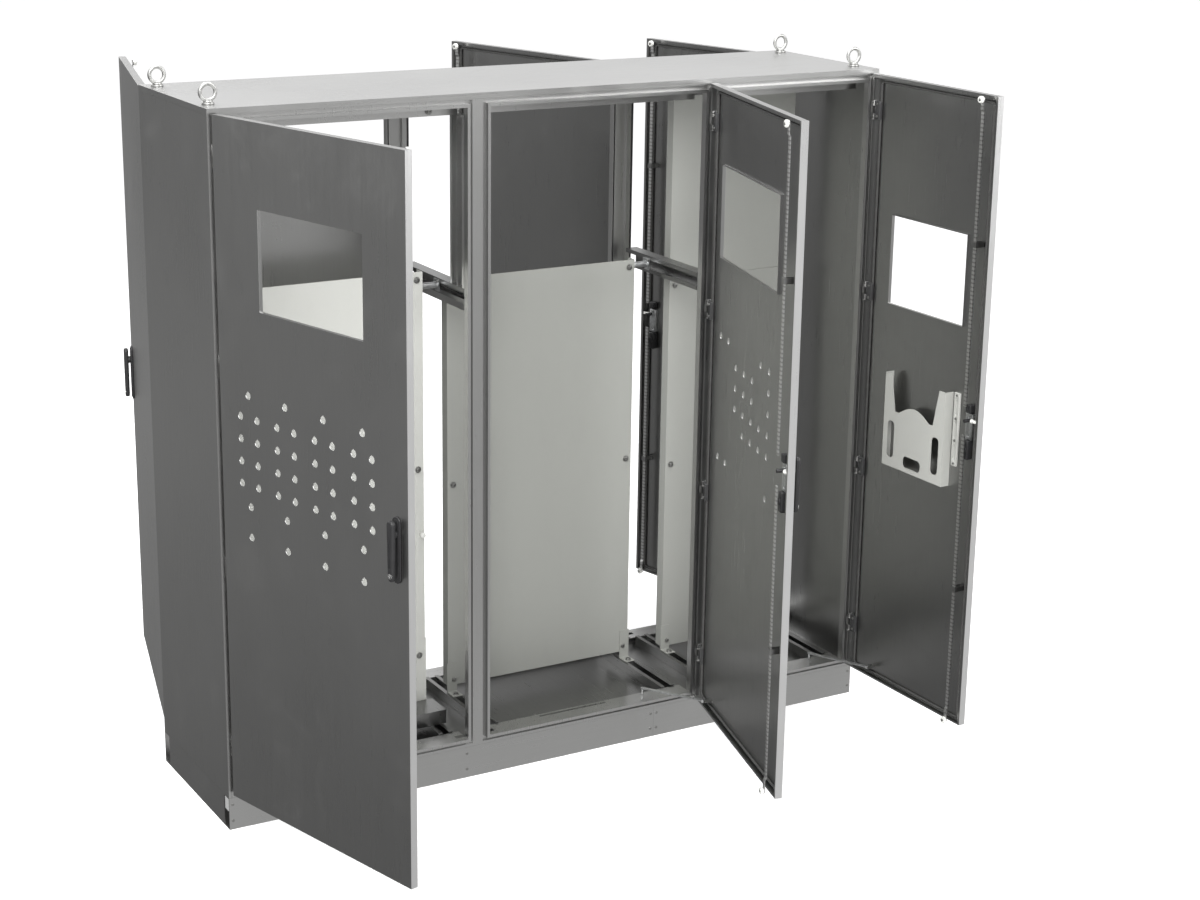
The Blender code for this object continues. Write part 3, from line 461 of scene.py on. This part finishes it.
def disc(name, radius, low, high, sides=32, centre=(0.0, 0.0)):
    """A cylinder along Z."""
    fresh()
    bpy.ops.mesh.primitive_cylinder_add(
        vertices=sides, radius=radius, depth=high - low, location=(*centre, (low + high) / 2)
    )
    piece = bpy.context.object
    piece.name = name
    bpy.ops.object.transform_apply(location=True, rotation=True, scale=True)
    return piece


def soften(piece, width, segments=2, angle=30.0):
    """Rounds the edges and shades the piece."""
    only(piece)
    bevel = piece.modifiers.new("edges", "BEVEL")
    bevel.width, bevel.segments, bevel.limit_method = width, segments, "ANGLE"
    bevel.angle_limit = math.radians(angle)
    bpy.ops.object.modifier_apply(modifier=bevel.name)
    bpy.ops.object.shade_smooth_by_angle(angle=SMOOTH)
    return piece


def cut(piece, tool):
    """Takes the tool's shape out of the piece, and removes the tool."""
    only(piece)
    modifier = piece.modifiers.new("cut", "BOOLEAN")
    modifier.operation, modifier.solver, modifier.object = "DIFFERENCE", "EXACT", tool
    bpy.ops.object.modifier_apply(modifier=modifier.name)
    bpy.data.objects.remove(tool, do_unlink=True)
    return piece


def joined(name, pieces):
    """Several pieces as one object."""
    fresh()
    for piece in pieces:
        piece.select_set(True)
    bpy.context.view_layer.objects.active = pieces[0]
    if len(pieces) > 1:
        bpy.ops.object.join()
    pieces[0].name = name
    return pieces[0]


def turned_outwards(piece):
    only(piece)
    bpy.ops.object.mode_set(mode="EDIT")
    bpy.ops.mesh.select_all(action="SELECT")
    bpy.ops.mesh.normals_make_consistent(inside=False)
    bpy.ops.object.mode_set(mode="OBJECT")
    return piece


def coat(piece, finish):
    piece.data.materials.clear()
    piece.data.materials.append(material(finish))
    return piece


def moved(piece, matrix):
    """Puts a place into the mesh itself."""
    piece.data.transform(matrix)
    if matrix.determinant() < 0:
        turned_outwards(piece)
    piece.data.update()
    return piece


def copy_of(piece, name, matrix):
    """A copy with its own mesh."""
    made = piece.copy()
    made.data = piece.data.copy()
    made.name = name
    bpy.context.scene.collection.objects.link(made)
    return moved(made, matrix)


def facing(point, direction):
    """Turns +Z towards the direction and moves to the point."""
    turn = Vector((0, 0, 1)).rotation_difference(Vector(direction)).to_matrix().to_4x4()
    return Matrix.Translation(Vector(point)) @ turn


def throw_away(*things):
    for thing in things:
        bpy.data.objects.remove(thing, do_unlink=True)


def finish_piece(piece, body, finish=None):
    if finish:
        coat(piece, finish)
    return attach(piece, body)


# ---- places worked out from the frame


class Leaf:
    """A door leaf at rest: its matrix turns (along, depth, height) into the room."""

    def __init__(self, door):
        joint = JOINTS[f"{door}_hinge"]
        self.door = door
        out = -1.0 if door.startswith("front") else 1.0
        sense = joint["axis"][2]
        way = sense * out
        rest = math.radians(-joint["range_deg"][0]) * sense
        turn = Matrix.Rotation(rest, 3, "Z")
        along = turn @ Vector((way, 0, 0))
        depth = turn @ Vector((0, out, 0))
        pivot = Vector((joint["pos_m"][0], joint["pos_m"][1], 0.0))
        start = pivot - along * PIVOT_ALONG - depth * PIVOT_DEPTH
        self.matrix = Matrix((
            (along.x, depth.x, 0.0, start.x),
            (along.y, depth.y, 0.0, start.y),
            (0.0, 0.0, 1.0, 0.0),
            (0.0, 0.0, 0.0, 1.0),
        ))
        points = [vertex.co - start for vertex in frame["nodes"][door].data.vertices]
        self.width = max(point.dot(along) for point in points)
        self.depth = max(point.dot(depth) for point in points)
        self.low = min(point.z for point in points)
        self.high = max(point.z for point in points)
        self.spindle = JOINTS[door.replace("door", "handle") + "_turn"]["pos_m"][2]

    def hinge_heights(self):
        return [self.low + rise for rise in HINGES_UP] + [self.high - drop for drop in HINGES_DOWN]

    def put(self, piece):
        return moved(piece, self.matrix)


# ---- operators, one for each kind of piece

# the first part of a name that fits a node gives its finish
NODE_FINISHES = (
    # the floor, inner wall, rail and channel steels are shaded and lit copies of one steel: painted shade and
    # painted light
    ("floor_plate", "steel_floor"),
    ("floor_box", "steel_floor"),
    ("roof", "steel_across"),
    ("plinth_front", "steel_across"),
    ("plinth_rear", "steel_across"),
    ("plinth", "steel_deep"),
    ("depth_band", "steel_deep"),
    ("floor_rail", "rail_steel"),
    ("depth_rail", "rail_steel"),
    ("upright_channel", "channel_steel"),
    ("right_wall", "steel_inner"),
    ("upper_panel_1", "steel_inner"),
    ("upper_panel_3", "plate_paint"),
    ("mounting_plate_1", "pale_paint"),
    # painted light: plate 1 is coated in a lighter copy of the plate paint
    ("mounting_plate", "plate_paint"),
    ("document_holder", "holder_paint"),
    ("_rod_", "rod_zinc"),
    ("_handle_", "black_moulding"),
    ("door_stay", "zinc"),
    ("plate_spacer", "zinc"),
    ("lifting_eye", "forged"),
)


class CabinetFinish(bpy.types.Operator):
    """Brushed steel, paint and zinc on the cabinet's own sheets and rails"""

    bl_idname = "cabinet.finish"
    bl_label = "Sheet finishes"

    def execute(self, context):
        for node in frame["nodes"]:
            if node in DOORS:
                MATERIALS[f"{node}_steel"] = steel(f"{node}_steel", 2, leaf=Leaf(node))
                finish_node(node, f"{node}_steel")
                continue
            fitting = [finish for part, finish in NODE_FINISHES if part in node]
            finish_node(node, fitting[0] if fitting else "steel_upright")
        return {"FINISHED"}


def bolt_head(name):
    """A hexagon head on its washer, pointing along +Z, seat at height 0."""
    radius = bpy.context.scene.cabinet_fittings.bolt_radius
    washer = soften(disc("washer", radius * 1.35, 0.0, 0.0016, 28), 0.0004, 2)
    head = soften(disc("head", radius, 0.0016, 0.0016 + radius * 0.72, 6), 0.0008, 2)
    bore = disc("bore", radius * 0.32, radius * 0.5, radius * 1.4, 16)
    return coat(joined(name, [cut(head, bore), washer]), "bolt_metal")


class CabinetBolts(bpy.types.Operator):
    """Bolts on the mounting plates and on their brackets"""

    bl_idname = "cabinet.bolts"
    bl_label = "Plate bolts"

    def execute(self, context):
        pattern = bolt_head("bolt_pattern")
        edge, foot_forward = 0.0235, 0.030
        rail_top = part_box("floor_rail_2_left")[1].z
        for number, plate in enumerate(PLATES, 1):
            low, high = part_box(plate)
            face = RECORD_MOUNTS[f"plate_{number}_face"][1]
            bottom = PLATE_BOTTOMS[plate]
            heights = (bottom + 0.020, (bottom + high.z) / 2 + 0.006, high.z - 0.024)
            seats = []
            for x in (low.x + edge, high.x - edge):
                seats += [((x, face, z), (0, -1, 0)) for z in heights]
            for side in ("left", "right"):
                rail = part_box(f"floor_rail_{number}_{side}")
                x = (rail[0].x + rail[1].x) / 2
                y = face - foot_forward if number > 1 else face + foot_forward
                seats.append(((x, y, rail_top + 0.0028), (0, 0, 1)))
            bolts = [copy_of(pattern, "bolt", facing(point, way)) for point, way in seats]
            finish_piece(joined(f"plate_{number}_bolts", bolts), "cabinet")
        self.add_spacer_bolts(pattern)
        throw_away(pattern)
        return {"FINISHED"}

    def add_spacer_bolts(self, pattern):
        """Two bolts through each spacer's flange into the rail."""
        for number in (1, 2):
            low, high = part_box(f"plate_spacer_{number}")
            y, z = (low.y + high.y) / 2, (low.z + high.z) / 2
            bolts = []
            for lift in (-0.0135, 0.0135):
                small = copy_of(pattern, "bolt", Matrix.Scale(0.5, 4))
                bolts.append(moved(small, facing((high.x - 0.0044, y + lift, z - lift), (-1, 0, 0))))
            finish_piece(joined(f"spacer_{number}_bolts", bolts), "cabinet")


class CabinetEyes(bpy.types.Operator):
    """Lifting eyes on the roof's corners"""

    bl_idname = "cabinet.eyes"
    bl_label = "Lifting eyes"

    def execute(self, context):
        low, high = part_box(EYES[0])
        wire = 0.0055  # half the thickness of the ring
        ring_radius = (high.x - low.x) / 2 - wire
        height = high.z - low.z
        for eye in EYES:
            low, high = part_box(eye)
            middle = (low + high) / 2
            fresh()
            bpy.ops.mesh.primitive_torus_add(
                major_radius=ring_radius, minor_radius=wire, major_segments=56, minor_segments=20,
                location=(middle.x, middle.y, high.z - ring_radius - wire), rotation=(math.pi / 2, 0, 0),
            )
            ring = bpy.context.object
            bpy.ops.object.transform_apply(location=True, rotation=True, scale=True)
            bpy.ops.object.shade_smooth()
            spot = (middle.x, middle.y)
            base_top = low.z + height * 0.09
            washer = soften(disc("washer", 0.0178, low.z + 0.0001, base_top, 40, spot), 0.0008, 2)
            collar = soften(disc("collar", 0.0135, base_top, low.z + height * 0.17, 40, spot), 0.0016, 3)
            piece = joined(f"{eye}_forging", [ring, washer, collar])
            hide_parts(eye)
            finish_piece(piece, "cabinet", "forged")
        return {"FINISHED"}


class CabinetHinges(bpy.types.Operator):
    """Black hinge blocks on every leaf, with their barrels and screws"""

    bl_idname = "cabinet.hinges"
    bl_label = "Hinges"

    def execute(self, context):
        screw = bolt_head("hinge_screw")
        moved(screw, Matrix.Scale(0.45, 4))
        for door in DOORS:
            leaf = Leaf(door)
            blocks, fixed, screws = [], [], []
            inner = leaf.depth - SHEET
            for height in leaf.hinge_heights():
                near = (0.0125, inner - 0.0125, height - 0.029)
                body = block("body", near, (0.033, inner - 0.0002, height + 0.029))
                blocks.append(soften(body, 0.0022, 3))
                barrel = (PIVOT_ALONG, PIVOT_DEPTH)
                for low, high in ((0.0130, 0.0292), (-0.0292, -0.0130)):
                    part = disc("barrel", 0.0048, height + low, height + high, 24, barrel)
                    blocks.append(soften(part, 0.0008, 2))
                    near = (0.006, inner - 0.0062, height + low)
                    strap = block("strap", near, (0.014, inner - 0.0035, height + high))
                    blocks.append(soften(strap, 0.0006, 2))
                part = disc("fixed", 0.0048, height - 0.0124, height + 0.0124, 24, barrel)
                fixed.append(soften(part, 0.0008, 2))
                for lift in (-0.019, 0.019):
                    spot = facing((0.0205, inner - 0.0122, height + lift), (0, -1, 0))
                    screws.append(copy_of(screw, "screw", spot))
            finish_piece(leaf.put(joined(f"{door}_hinge_blocks", blocks)), door, "hinge_black")
            finish_piece(leaf.put(joined(f"{door}_hinge_screws", screws)), door)
            finish_piece(leaf.put(joined(f"{door}_hinge_pins", fixed)), "cabinet", "hinge_black")
            self.add_bases(door, leaf)
        throw_away(screw)
        return {"FINISHED"}

    def add_bases(self, door, leaf):
        """Thin plates behind the hinges, lying on the frame's strip."""
        side = 1 if door.startswith("rear") else -1
        sense = JOINTS[f"{door}_hinge"]["axis"][2] * side
        pin = JOINTS[f"{door}_hinge"]["pos_m"]
        face = pin[1] - side * (PIVOT_DEPTH + STANDOFF - 0.0002)
        bases = []
        for height in leaf.hinge_heights():
            x = sorted(pin[0] + sense * run for run in (-0.0075, 0.0050))
            y = sorted((face, face + side * 0.0014))
            plate = block("base", (x[0], y[0], height - 0.030), (x[1], y[1], height + 0.030))
            bases.append(soften(plate, 0.0005, 2))
            for lift in (-0.022, 0.022):
                head = soften(disc("head", 0.0026, 0.0, 0.0008, 16), 0.0003, 2)
                place = facing((pin[0] - sense * 0.0015, face + side * 0.0014, height + lift), (0, side, 0))
                bases.append(moved(head, place))
        finish_piece(joined(f"{door}_hinge_bases", bases), "cabinet", "bolt_metal")


class CabinetSeals(bpy.types.Operator):
    """A foam seal with round corners inside every leaf"""

    bl_idname = "cabinet.seals"
    bl_label = "Door seals"

    def execute(self, context):
        settings = context.scene.cabinet_fittings
        for door in DOORS:
            leaf = Leaf(door)
            half = settings.gasket_width / 2
            low = (GASKET_SIDE - half, leaf.low + GASKET_BOTTOM - half)
            high = (leaf.width - GASKET_SIDE + half, leaf.high - GASKET_TOP + half)
            fresh()
            middle = ((low[0] + high[0]) / 2, 0.0, (low[1] + high[1]) / 2)
            bpy.ops.mesh.primitive_plane_add(size=1.0, location=middle, rotation=(math.pi / 2, 0, 0))
            seal = bpy.context.object
            seal.scale = (high[0] - low[0], high[1] - low[1], 1.0)
            bpy.ops.object.transform_apply(location=True, rotation=True, scale=True)
            bpy.ops.object.mode_set(mode="EDIT")
            bpy.ops.mesh.select_all(action="SELECT")
            bpy.ops.mesh.bevel(offset=0.016, segments=6, affect="VERTICES")
            bpy.ops.mesh.select_all(action="SELECT")
            bpy.ops.mesh.inset(thickness=settings.gasket_width, depth=0.0, use_even_offset=True)
            bpy.ops.mesh.delete(type="FACE")
            bpy.ops.mesh.select_all(action="SELECT")
            drawn = {"value": (0, -settings.gasket_height, 0)}
            bpy.ops.mesh.extrude_region_move(TRANSFORM_OT_translate=drawn)
            bpy.ops.mesh.select_all(action="SELECT")
            bpy.ops.mesh.normals_make_consistent(inside=False)
            bpy.ops.object.mode_set(mode="OBJECT")
            soften(seal, 0.0028, 3, 60.0)
            moved(seal, Matrix.Translation((0, leaf.depth - SHEET - 0.0002, 0)))
            seal.name = f"{door}_seal"
            finish_piece(leaf.put(seal), door, "foam")
        return {"FINISHED"}


def long_pad(name, width, up, down, low, high, taper=1.0):
    """A pad with round ends, standing along Z and facing +Y, from depth low to high."""
    half = width / 2
    fresh()
    bpy.ops.mesh.primitive_cylinder_add(vertices=40, radius=half, depth=high - low, location=(0, 0, 0))
    pad = bpy.context.object
    pad.name = name
    bpy.ops.object.mode_set(mode="EDIT")
    bpy.ops.mesh.select_all(action="DESELECT")
    bpy.ops.object.mode_set(mode="OBJECT")
    for vertex in pad.data.vertices:
        vertex.select = vertex.co.y > 1e-5
    bpy.ops.object.mode_set(mode="EDIT")
    bpy.ops.transform.translate(value=(0, up - half, 0))
    bpy.ops.mesh.select_all(action="INVERT")
    bpy.ops.transform.translate(value=(0, half - down, 0))
    bpy.ops.transform.resize(value=(taper, 1, 1), center_override=(0, half - down, 0))
    bpy.ops.object.mode_set(mode="OBJECT")
    turn = Matrix.Rotation(math.pi / 2, 4, "X")
    moved(pad, Matrix.Translation((0, (low + high) / 2, 0)) @ turn)
    return pad


class CabinetHandles(bpy.types.Operator):
    """Black swing levers with their escutcheons and lock cylinders"""

    bl_idname = "cabinet.handles"
    bl_label = "Handles"

    def execute(self, context):
        width = context.scene.cabinet_fittings.lever_width
        for door in DOORS:
            leaf = Leaf(door)
            handle = door.replace("door", "handle")
            spot = leaf.matrix.inverted() @ Vector(JOINTS[f"{handle}_turn"]["pos_m"])
            to_spindle = leaf.matrix @ Matrix.Translation((spot.x, leaf.depth, spot.z))

            dish = soften(long_pad("dish", width * 1.18, 0.046, 0.134, 0.0002, 0.0052), 0.0016, 3)
            lip = soften(long_pad("lip", width * 0.92, 0.040, 0.127, 0.0046, 0.0072), 0.0008, 2)
            base = moved(joined(f"{handle}_escutcheon", [dish, lip]), to_spindle)
            finish_piece(base, door, "black_moulding")

            lever = long_pad("lever", width, 0.039, 0.1255, 0.0135, 0.0278, 0.80)
            soften(lever, 0.0052, 4)
            neck = soften(turn_to_depth(disc("neck", width * 0.43, 0.0070, 0.0150, 36)), 0.001, 2)
            groove = block("groove", (-0.0022, 0.0268, -0.088), (0.0022, 0.0300, -0.012))
            cut(lever, groove)
            shaft = turn_to_depth(disc("shaft", 0.0058, -0.0400, 0.0080, 24))
            piece = moved(joined(f"{handle}_lever", [lever, neck, soften(shaft, 0.0006, 2)]), to_spindle)
            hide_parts(handle)
            finish_piece(piece, handle, "black_moulding")

            barrel = disc("barrel", 0.0078, 0.0262, 0.0284, 36)
            slot = block("slot", (-0.0009, -0.0042, 0.0276), (0.0009, 0.0042, 0.0300))
            plug = turn_to_depth(soften(cut(barrel, slot), 0.0004, 2))
            moved(plug, Matrix.Translation((0, 0, -0.110)))
            finish_piece(moved(plug, to_spindle), handle, "bright").name = f"{handle}_cylinder"
        return {"FINISHED"}


def turn_to_depth(piece):
    """Turns a piece that points along +Z so that it points out of the leaf, along +Y."""
    return moved(piece, Matrix.Rotation(-math.pi / 2, 4, "X"))


class CabinetLocks(bpy.types.Operator):
    """Gear cases and plates inside the doors, with a white pin towards the free edge"""

    bl_idname = "cabinet.locks"
    bl_label = "Lock gears"

    def execute(self, context):
        for door in DOORS:
            leaf = Leaf(door)
            edge, z = leaf.width, leaf.spindle
            inner = leaf.depth - SHEET - 0.0002
            top = block("top", (edge - 0.064, 0.0015, z + 0.020), (edge - 0.040, inner, z + 0.046))
            soften(top, 0.003, 3)
            gear = block("gear", (edge - 0.066, -0.0020, z - 0.126), (edge - 0.040, inner, z - 0.066))
            soften(gear, 0.003, 3)
            boss = soften(turn_to_depth(disc("boss", 0.011, 0.0, 0.004, 32)), 0.0012, 3)
            moved(boss, Matrix.Translation((edge - 0.053, -0.0058, z - 0.094)))
            black = leaf.put(joined(f"{door}_gear_case", [gear, top, boss]))
            finish_piece(black, door, "black_moulding")
            plate = block("plate", (edge - 0.068, 0.0085, z - 0.064), (edge - 0.036, inner, z + 0.018))
            for lift in (-0.052, 0.006):
                near = (edge - 0.057, 0.006, z + lift - 0.004)
                cut(plate, block("notch", near, (edge - 0.047, 0.0125, z + lift + 0.004)))
            soften(plate, 0.0012, 2)
            plate.name = f"{door}_gear_plate"
            finish_piece(leaf.put(plate), door, "zinc")
            pin = soften(disc("pin", 0.0048, 0.0, 0.030, 28), 0.0015, 3)
            flange = soften(disc("flange", 0.0068, 0.0, 0.003, 28), 0.0008, 2)
            pin = joined(f"{door}_latch_pin", [pin, flange])
            moved(pin, facing((edge - 0.0365, 0.0055, z - 0.001), (1, 0, 0)))
            finish_piece(leaf.put(pin), door, "nylon")
        return {"FINISHED"}


class CabinetRollers(bpy.types.Operator):
    """White rollers on their pins at the ends of the locking rods"""

    bl_idname = "cabinet.rollers"
    bl_label = "Rollers"

    def execute(self, context):
        for door in DOORS:
            leaf = Leaf(door)
            heights = {"upper": leaf.high - ROLLER_TOP, "lower": leaf.low + ROLLER_BOTTOM}
            for which, height in heights.items():
                rod = door.replace("door", f"{which}_rod")
                tyre = disc("tyre", 0.0104, ROLLER_NEAR - 0.0002, ROLLER_FAR - 0.0006, 36)
                soften(tyre, 0.0022, 4)
                hub = soften(disc("hub", 0.0046, ROLLER_NEAR - 0.0016, ROLLER_NEAR + 0.001, 24), 0.0006, 2)
                spot = Matrix.Translation((leaf.width - ROD_FROM_EDGE, 0, height))
                moved(turn_to_depth(tyre), spot)
                moved(turn_to_depth(hub), spot)
                tyre.name, hub.name = f"{rod}_tyre", f"{rod}_hub"
                finish_piece(leaf.put(tyre), rod, "nylon")
                finish_piece(leaf.put(hub), rod, "bolt_metal")
        return {"FINISHED"}


class CabinetHolder(bpy.types.Operator):
    """The pierced strip beside the document holder, and its screws"""

    bl_idname = "cabinet.holder"
    bl_label = "Strip by the document holder"

    def execute(self, context):
        leaf = Leaf("front_door_3")
        inner = leaf.depth - SHEET - 0.0002
        to_leaf = leaf.matrix.inverted()
        holder = frame["nodes"]["document_holder"]
        points = [to_leaf @ vertex.co for vertex in holder.data.vertices]
        right, base = max(p.x for p in points), min(p.z for p in points)
        x0, x1, z0, z1 = right + 0.012, right + 0.038, base + 0.072, base + 0.305
        strip = soften(block("strip", (x0, inner - 0.008, z0), (x1, inner, z1)), 0.002, 3)
        for share in (0.2, 0.5, 0.8):
            z = z0 + (z1 - z0) * share
            near = (x0 + 0.008, inner - 0.010, z - 0.022)
            cut(strip, block("tool", near, (x1 - 0.008, inner - 0.0045, z + 0.022)))
        strip.name = "door_strip"
        finish_piece(leaf.put(strip), "front_door_3", "holder_paint")
        screw = bolt_head("strip_screw")
        moved(screw, Matrix.Scale(0.42, 4))
        screws = []
        for share in (0.035, 0.35, 0.65, 0.965):
            z = z0 + (z1 - z0) * share
            screws.append(copy_of(screw, "screw", facing(((x0 + x1) / 2, inner - 0.0078, z), (0, -1, 0))))
        finish_piece(leaf.put(joined("door_strip_screws", screws)), "front_door_3")
        throw_away(screw)
        return {"FINISHED"}


class CabinetSmallParts(bpy.types.Operator):
    """Plinth screws, the knob by the left plate, and the bolt under the roof"""

    bl_idname = "cabinet.small_parts"
    bl_label = "Small parts"

    def execute(self, context):
        joint_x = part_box("plinth_front_right")[0].x
        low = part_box("plinth_front_left")[0]
        face = low.y
        head = soften(disc("screw", 0.0046, 0.0, 0.0014, 24), 0.0005, 2)
        cross = [block("cross", (-0.0026, -0.0005, 0.0008), (0.0026, 0.0005, 0.003))]
        cross.append(block("cross", (-0.0005, -0.0026, 0.0008), (0.0005, 0.0026, 0.003)))
        cut(cut(head, cross[0]), cross[1])
        coat(head, "bolt_metal")
        screws = []
        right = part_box("plinth_front_right")[1].x
        for x in (low.x + 0.011, joint_x - 0.669, joint_x - 0.011, joint_x + 0.011, right - 0.011):
            for z in (0.028, 0.079):
                screws.append(copy_of(head, "screw", facing((x, face + 0.0004, z), (0, -1, 0))))
        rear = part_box("plinth_rear")[1].y
        for x in (low.x + 0.011, 0.0, right - 0.011):
            for z in (0.028, 0.079):
                screws.append(copy_of(head, "screw", facing((x, rear - 0.0004, z), (0, 1, 0))))
        finish_piece(joined("plinth_screws", screws), "cabinet")
        throw_away(head)

        low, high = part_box("mounting_plate_1")
        knob = soften(disc("knob", 0.009, 0.0, 0.011, 32), 0.002, 3)
        moved(knob, facing((high.x - 0.012, low.y - 0.0002, 0.724), (0, -1, 0)))
        knob.name = "plate_1_knob"
        finish_piece(knob, "cabinet", "nylon")
        bolt = bolt_head("roof_bolt")
        frame_low, frame_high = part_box("front_frame")
        spot = (low.x + (high.x - low.x) * 0.905, frame_low.y + 0.079 - 0.002, frame_high.z - 0.035)
        moved(bolt, facing(spot, (0, -1, 0)))
        finish_piece(bolt, "cabinet")
        return {"FINISHED"}


class CabinetStudio(bpy.types.Operator):
    """Pale floor, soft lights, sky and camera"""

    bl_idname = "cabinet.studio"
    bl_label = "Studio"

    def execute(self, context):
        settings = context.scene.cabinet_studio
        self.add_floor(settings)
        self.add_sky(context)
        self.add_light("key", (-3.4, -4.6, 5.2), (0.0, 0.2, 1.0), 4.5, settings.key_power)
        self.add_light("fill", (4.8, -4.2, 4.0), (0.2, 0.2, 1.0), 4.0, settings.key_power * 0.45)
        self.add_light("rear", (-1.5, 5.5, 4.6), (0.0, 0.3, 1.0), 4.0, settings.key_power * 0.25)
        self.add_light("top", (0.0, 0.2, 6.2), (0.0, 0.25, 1.0), 5.0, settings.key_power * 0.6)
        self.add_camera(context, settings)
        context.scene.view_settings.view_transform = "Standard"
        return {"FINISHED"}

    def add_floor(self, settings):
        fresh()
        bpy.ops.mesh.primitive_plane_add(size=60.0, location=(0.0, 0.0, 0.0))
        floor = bpy.context.object
        floor.name = "floor"
        m = Maker(bpy.data.materials.new("studio_floor"))
        clouds = m.noise(0.4, 2.0)
        colour = tuple(settings.floor)
        tone = m.mix(clouds, shade(colour, 0.99), colour)
        m.surface(Base_Color=tone, Roughness=0.75, Emission_Color=tone, Emission_Strength=0.45)
        floor.data.materials.append(m.owner)
        floor.visible_glossy = False

    def add_sky(self, context):
        """White to the eye; in reflections dark low down and bright overhead."""
        world = bpy.data.worlds.new("studio")
        context.scene.world = world
        m = Maker(world)
        direction = m.node("ShaderNodeTexCoord", output="Generated")
        split = m.node("ShaderNodeSeparateXYZ", None, (direction,))
        height = Field(m, split.socket.node.outputs["Z"])
        front = Field(m, split.socket.node.outputs["Y"])
        ramp = m.node(
            "ShaderNodeValToRGB",
            {"stops": (
                (0.0, (0.30, 0.30, 0.30)),
                (0.28, (0.13, 0.13, 0.13)),
                (0.37, (0.27, 0.27, 0.268)),
                (0.45, (0.15, 0.15, 0.15)),
                (0.50, (0.40, 0.40, 0.40)),
                (0.53, (0.92, 0.92, 0.92)),
                (1.0, (1.06, 1.06, 1.06)),
            )},
            {"Fac": height * 0.5 + 0.5},
        )
        facing_front = (0.0 - front).above(0.25, 0.55)
        bright = m.mix(facing_front * 0.55, ramp, (0.92, 0.92, 0.915))
        mirrored = m.node("ShaderNodeLightPath", output="Is Glossy Ray")
        ambient = m.mix(mirrored, (0.60, 0.60, 0.60), bright)
        path = m.node("ShaderNodeLightPath", output="Is Camera Ray")
        seen = m.mix(path, ambient, (1.0, 1.0, 1.0))
        background = m.tree.nodes["Background"]
        m.tree.links.new(seen.socket, background.inputs["Color"])
        background.inputs["Strength"].default_value = 1.0

    def add_light(self, name, place, target, size, power):
        fresh()
        bpy.ops.object.light_add(type="AREA", location=place)
        lamp = bpy.context.object
        lamp.name = f"{name}_light"
        lamp.data.energy, lamp.data.size = power, size
        lamp.rotation_euler = (Vector(target) - Vector(place)).to_track_quat("-Z", "Y").to_euler()

    def add_camera(self, context, settings):
        yaw, pitch, roll = (math.radians(angle) for angle in (29.92, 15.89, 0.80))
        level_reach = math.cos(pitch)
        forward = Vector((math.sin(yaw) * level_reach, math.cos(yaw) * level_reach, -math.sin(pitch)))
        right = Vector((math.cos(yaw), -math.sin(yaw), 0.0))
        up = right.cross(forward)
        level = Matrix((right, up, -forward)).transposed()
        turned = level @ Matrix.Rotation(roll, 3, "Z")
        fresh()
        bpy.ops.object.camera_add(location=(-3.2003, -5.7108, 2.9428))
        camera = bpy.context.object
        camera.name = "camera"
        camera.rotation_euler = turned.to_euler()
        camera.data.lens, camera.data.sensor_width = settings.focal_length, 36.0
        camera.data.shift_x, camera.data.shift_y = 0.0100, -0.0208
        context.scene.camera = camera


PIECE_OPERATORS = (
    CabinetFinish,
    CabinetBolts,
    CabinetEyes,
    CabinetHinges,
    CabinetSeals,
    CabinetHandles,
    CabinetLocks,
    CabinetRollers,
    CabinetHolder,
    CabinetSmallParts,
    CabinetStudio,
)
SETTINGS = (
    ("cabinet_steel", SteelSettings),
    ("cabinet_fittings", FittingSettings),
    ("cabinet_studio", StudioSettings),
)


class CabinetPanel(bpy.types.Panel):
    """Lists the cabinet's pieces and settings"""

    bl_idname = "VIEW3D_PT_cabinet"
    bl_label = "Switchboard Cabinet"
    bl_space_type = "VIEW_3D"
    bl_region_type = "UI"
    bl_category = "Cabinet"

    def draw(self, context):
        for name, group in SETTINGS:
            box = self.layout.box()
            for key in group.__annotations__:
                box.prop(getattr(context.scene, name), key)
        for operator in PIECE_OPERATORS:
            self.layout.operator(operator.bl_idname)


def register():
    for name, group in SETTINGS:
        bpy.utils.register_class(group)
        setattr(bpy.types.Scene, name, PointerProperty(type=group))
    for operator in PIECE_OPERATORS:
        bpy.utils.register_class(operator)
    bpy.utils.register_class(CabinetPanel)


def unregister():
    bpy.utils.unregister_class(CabinetPanel)
    for operator in reversed(PIECE_OPERATORS):
        bpy.utils.unregister_class(operator)
    for name, group in reversed(SETTINGS):
        delattr(bpy.types.Scene, name)
        bpy.utils.unregister_class(group)


def main():
    register()
    for operator in PIECE_OPERATORS:
        group, name = operator.bl_idname.split(".")
        getattr(getattr(bpy.ops, group), name)()


if __name__ == "__main__":
    main()
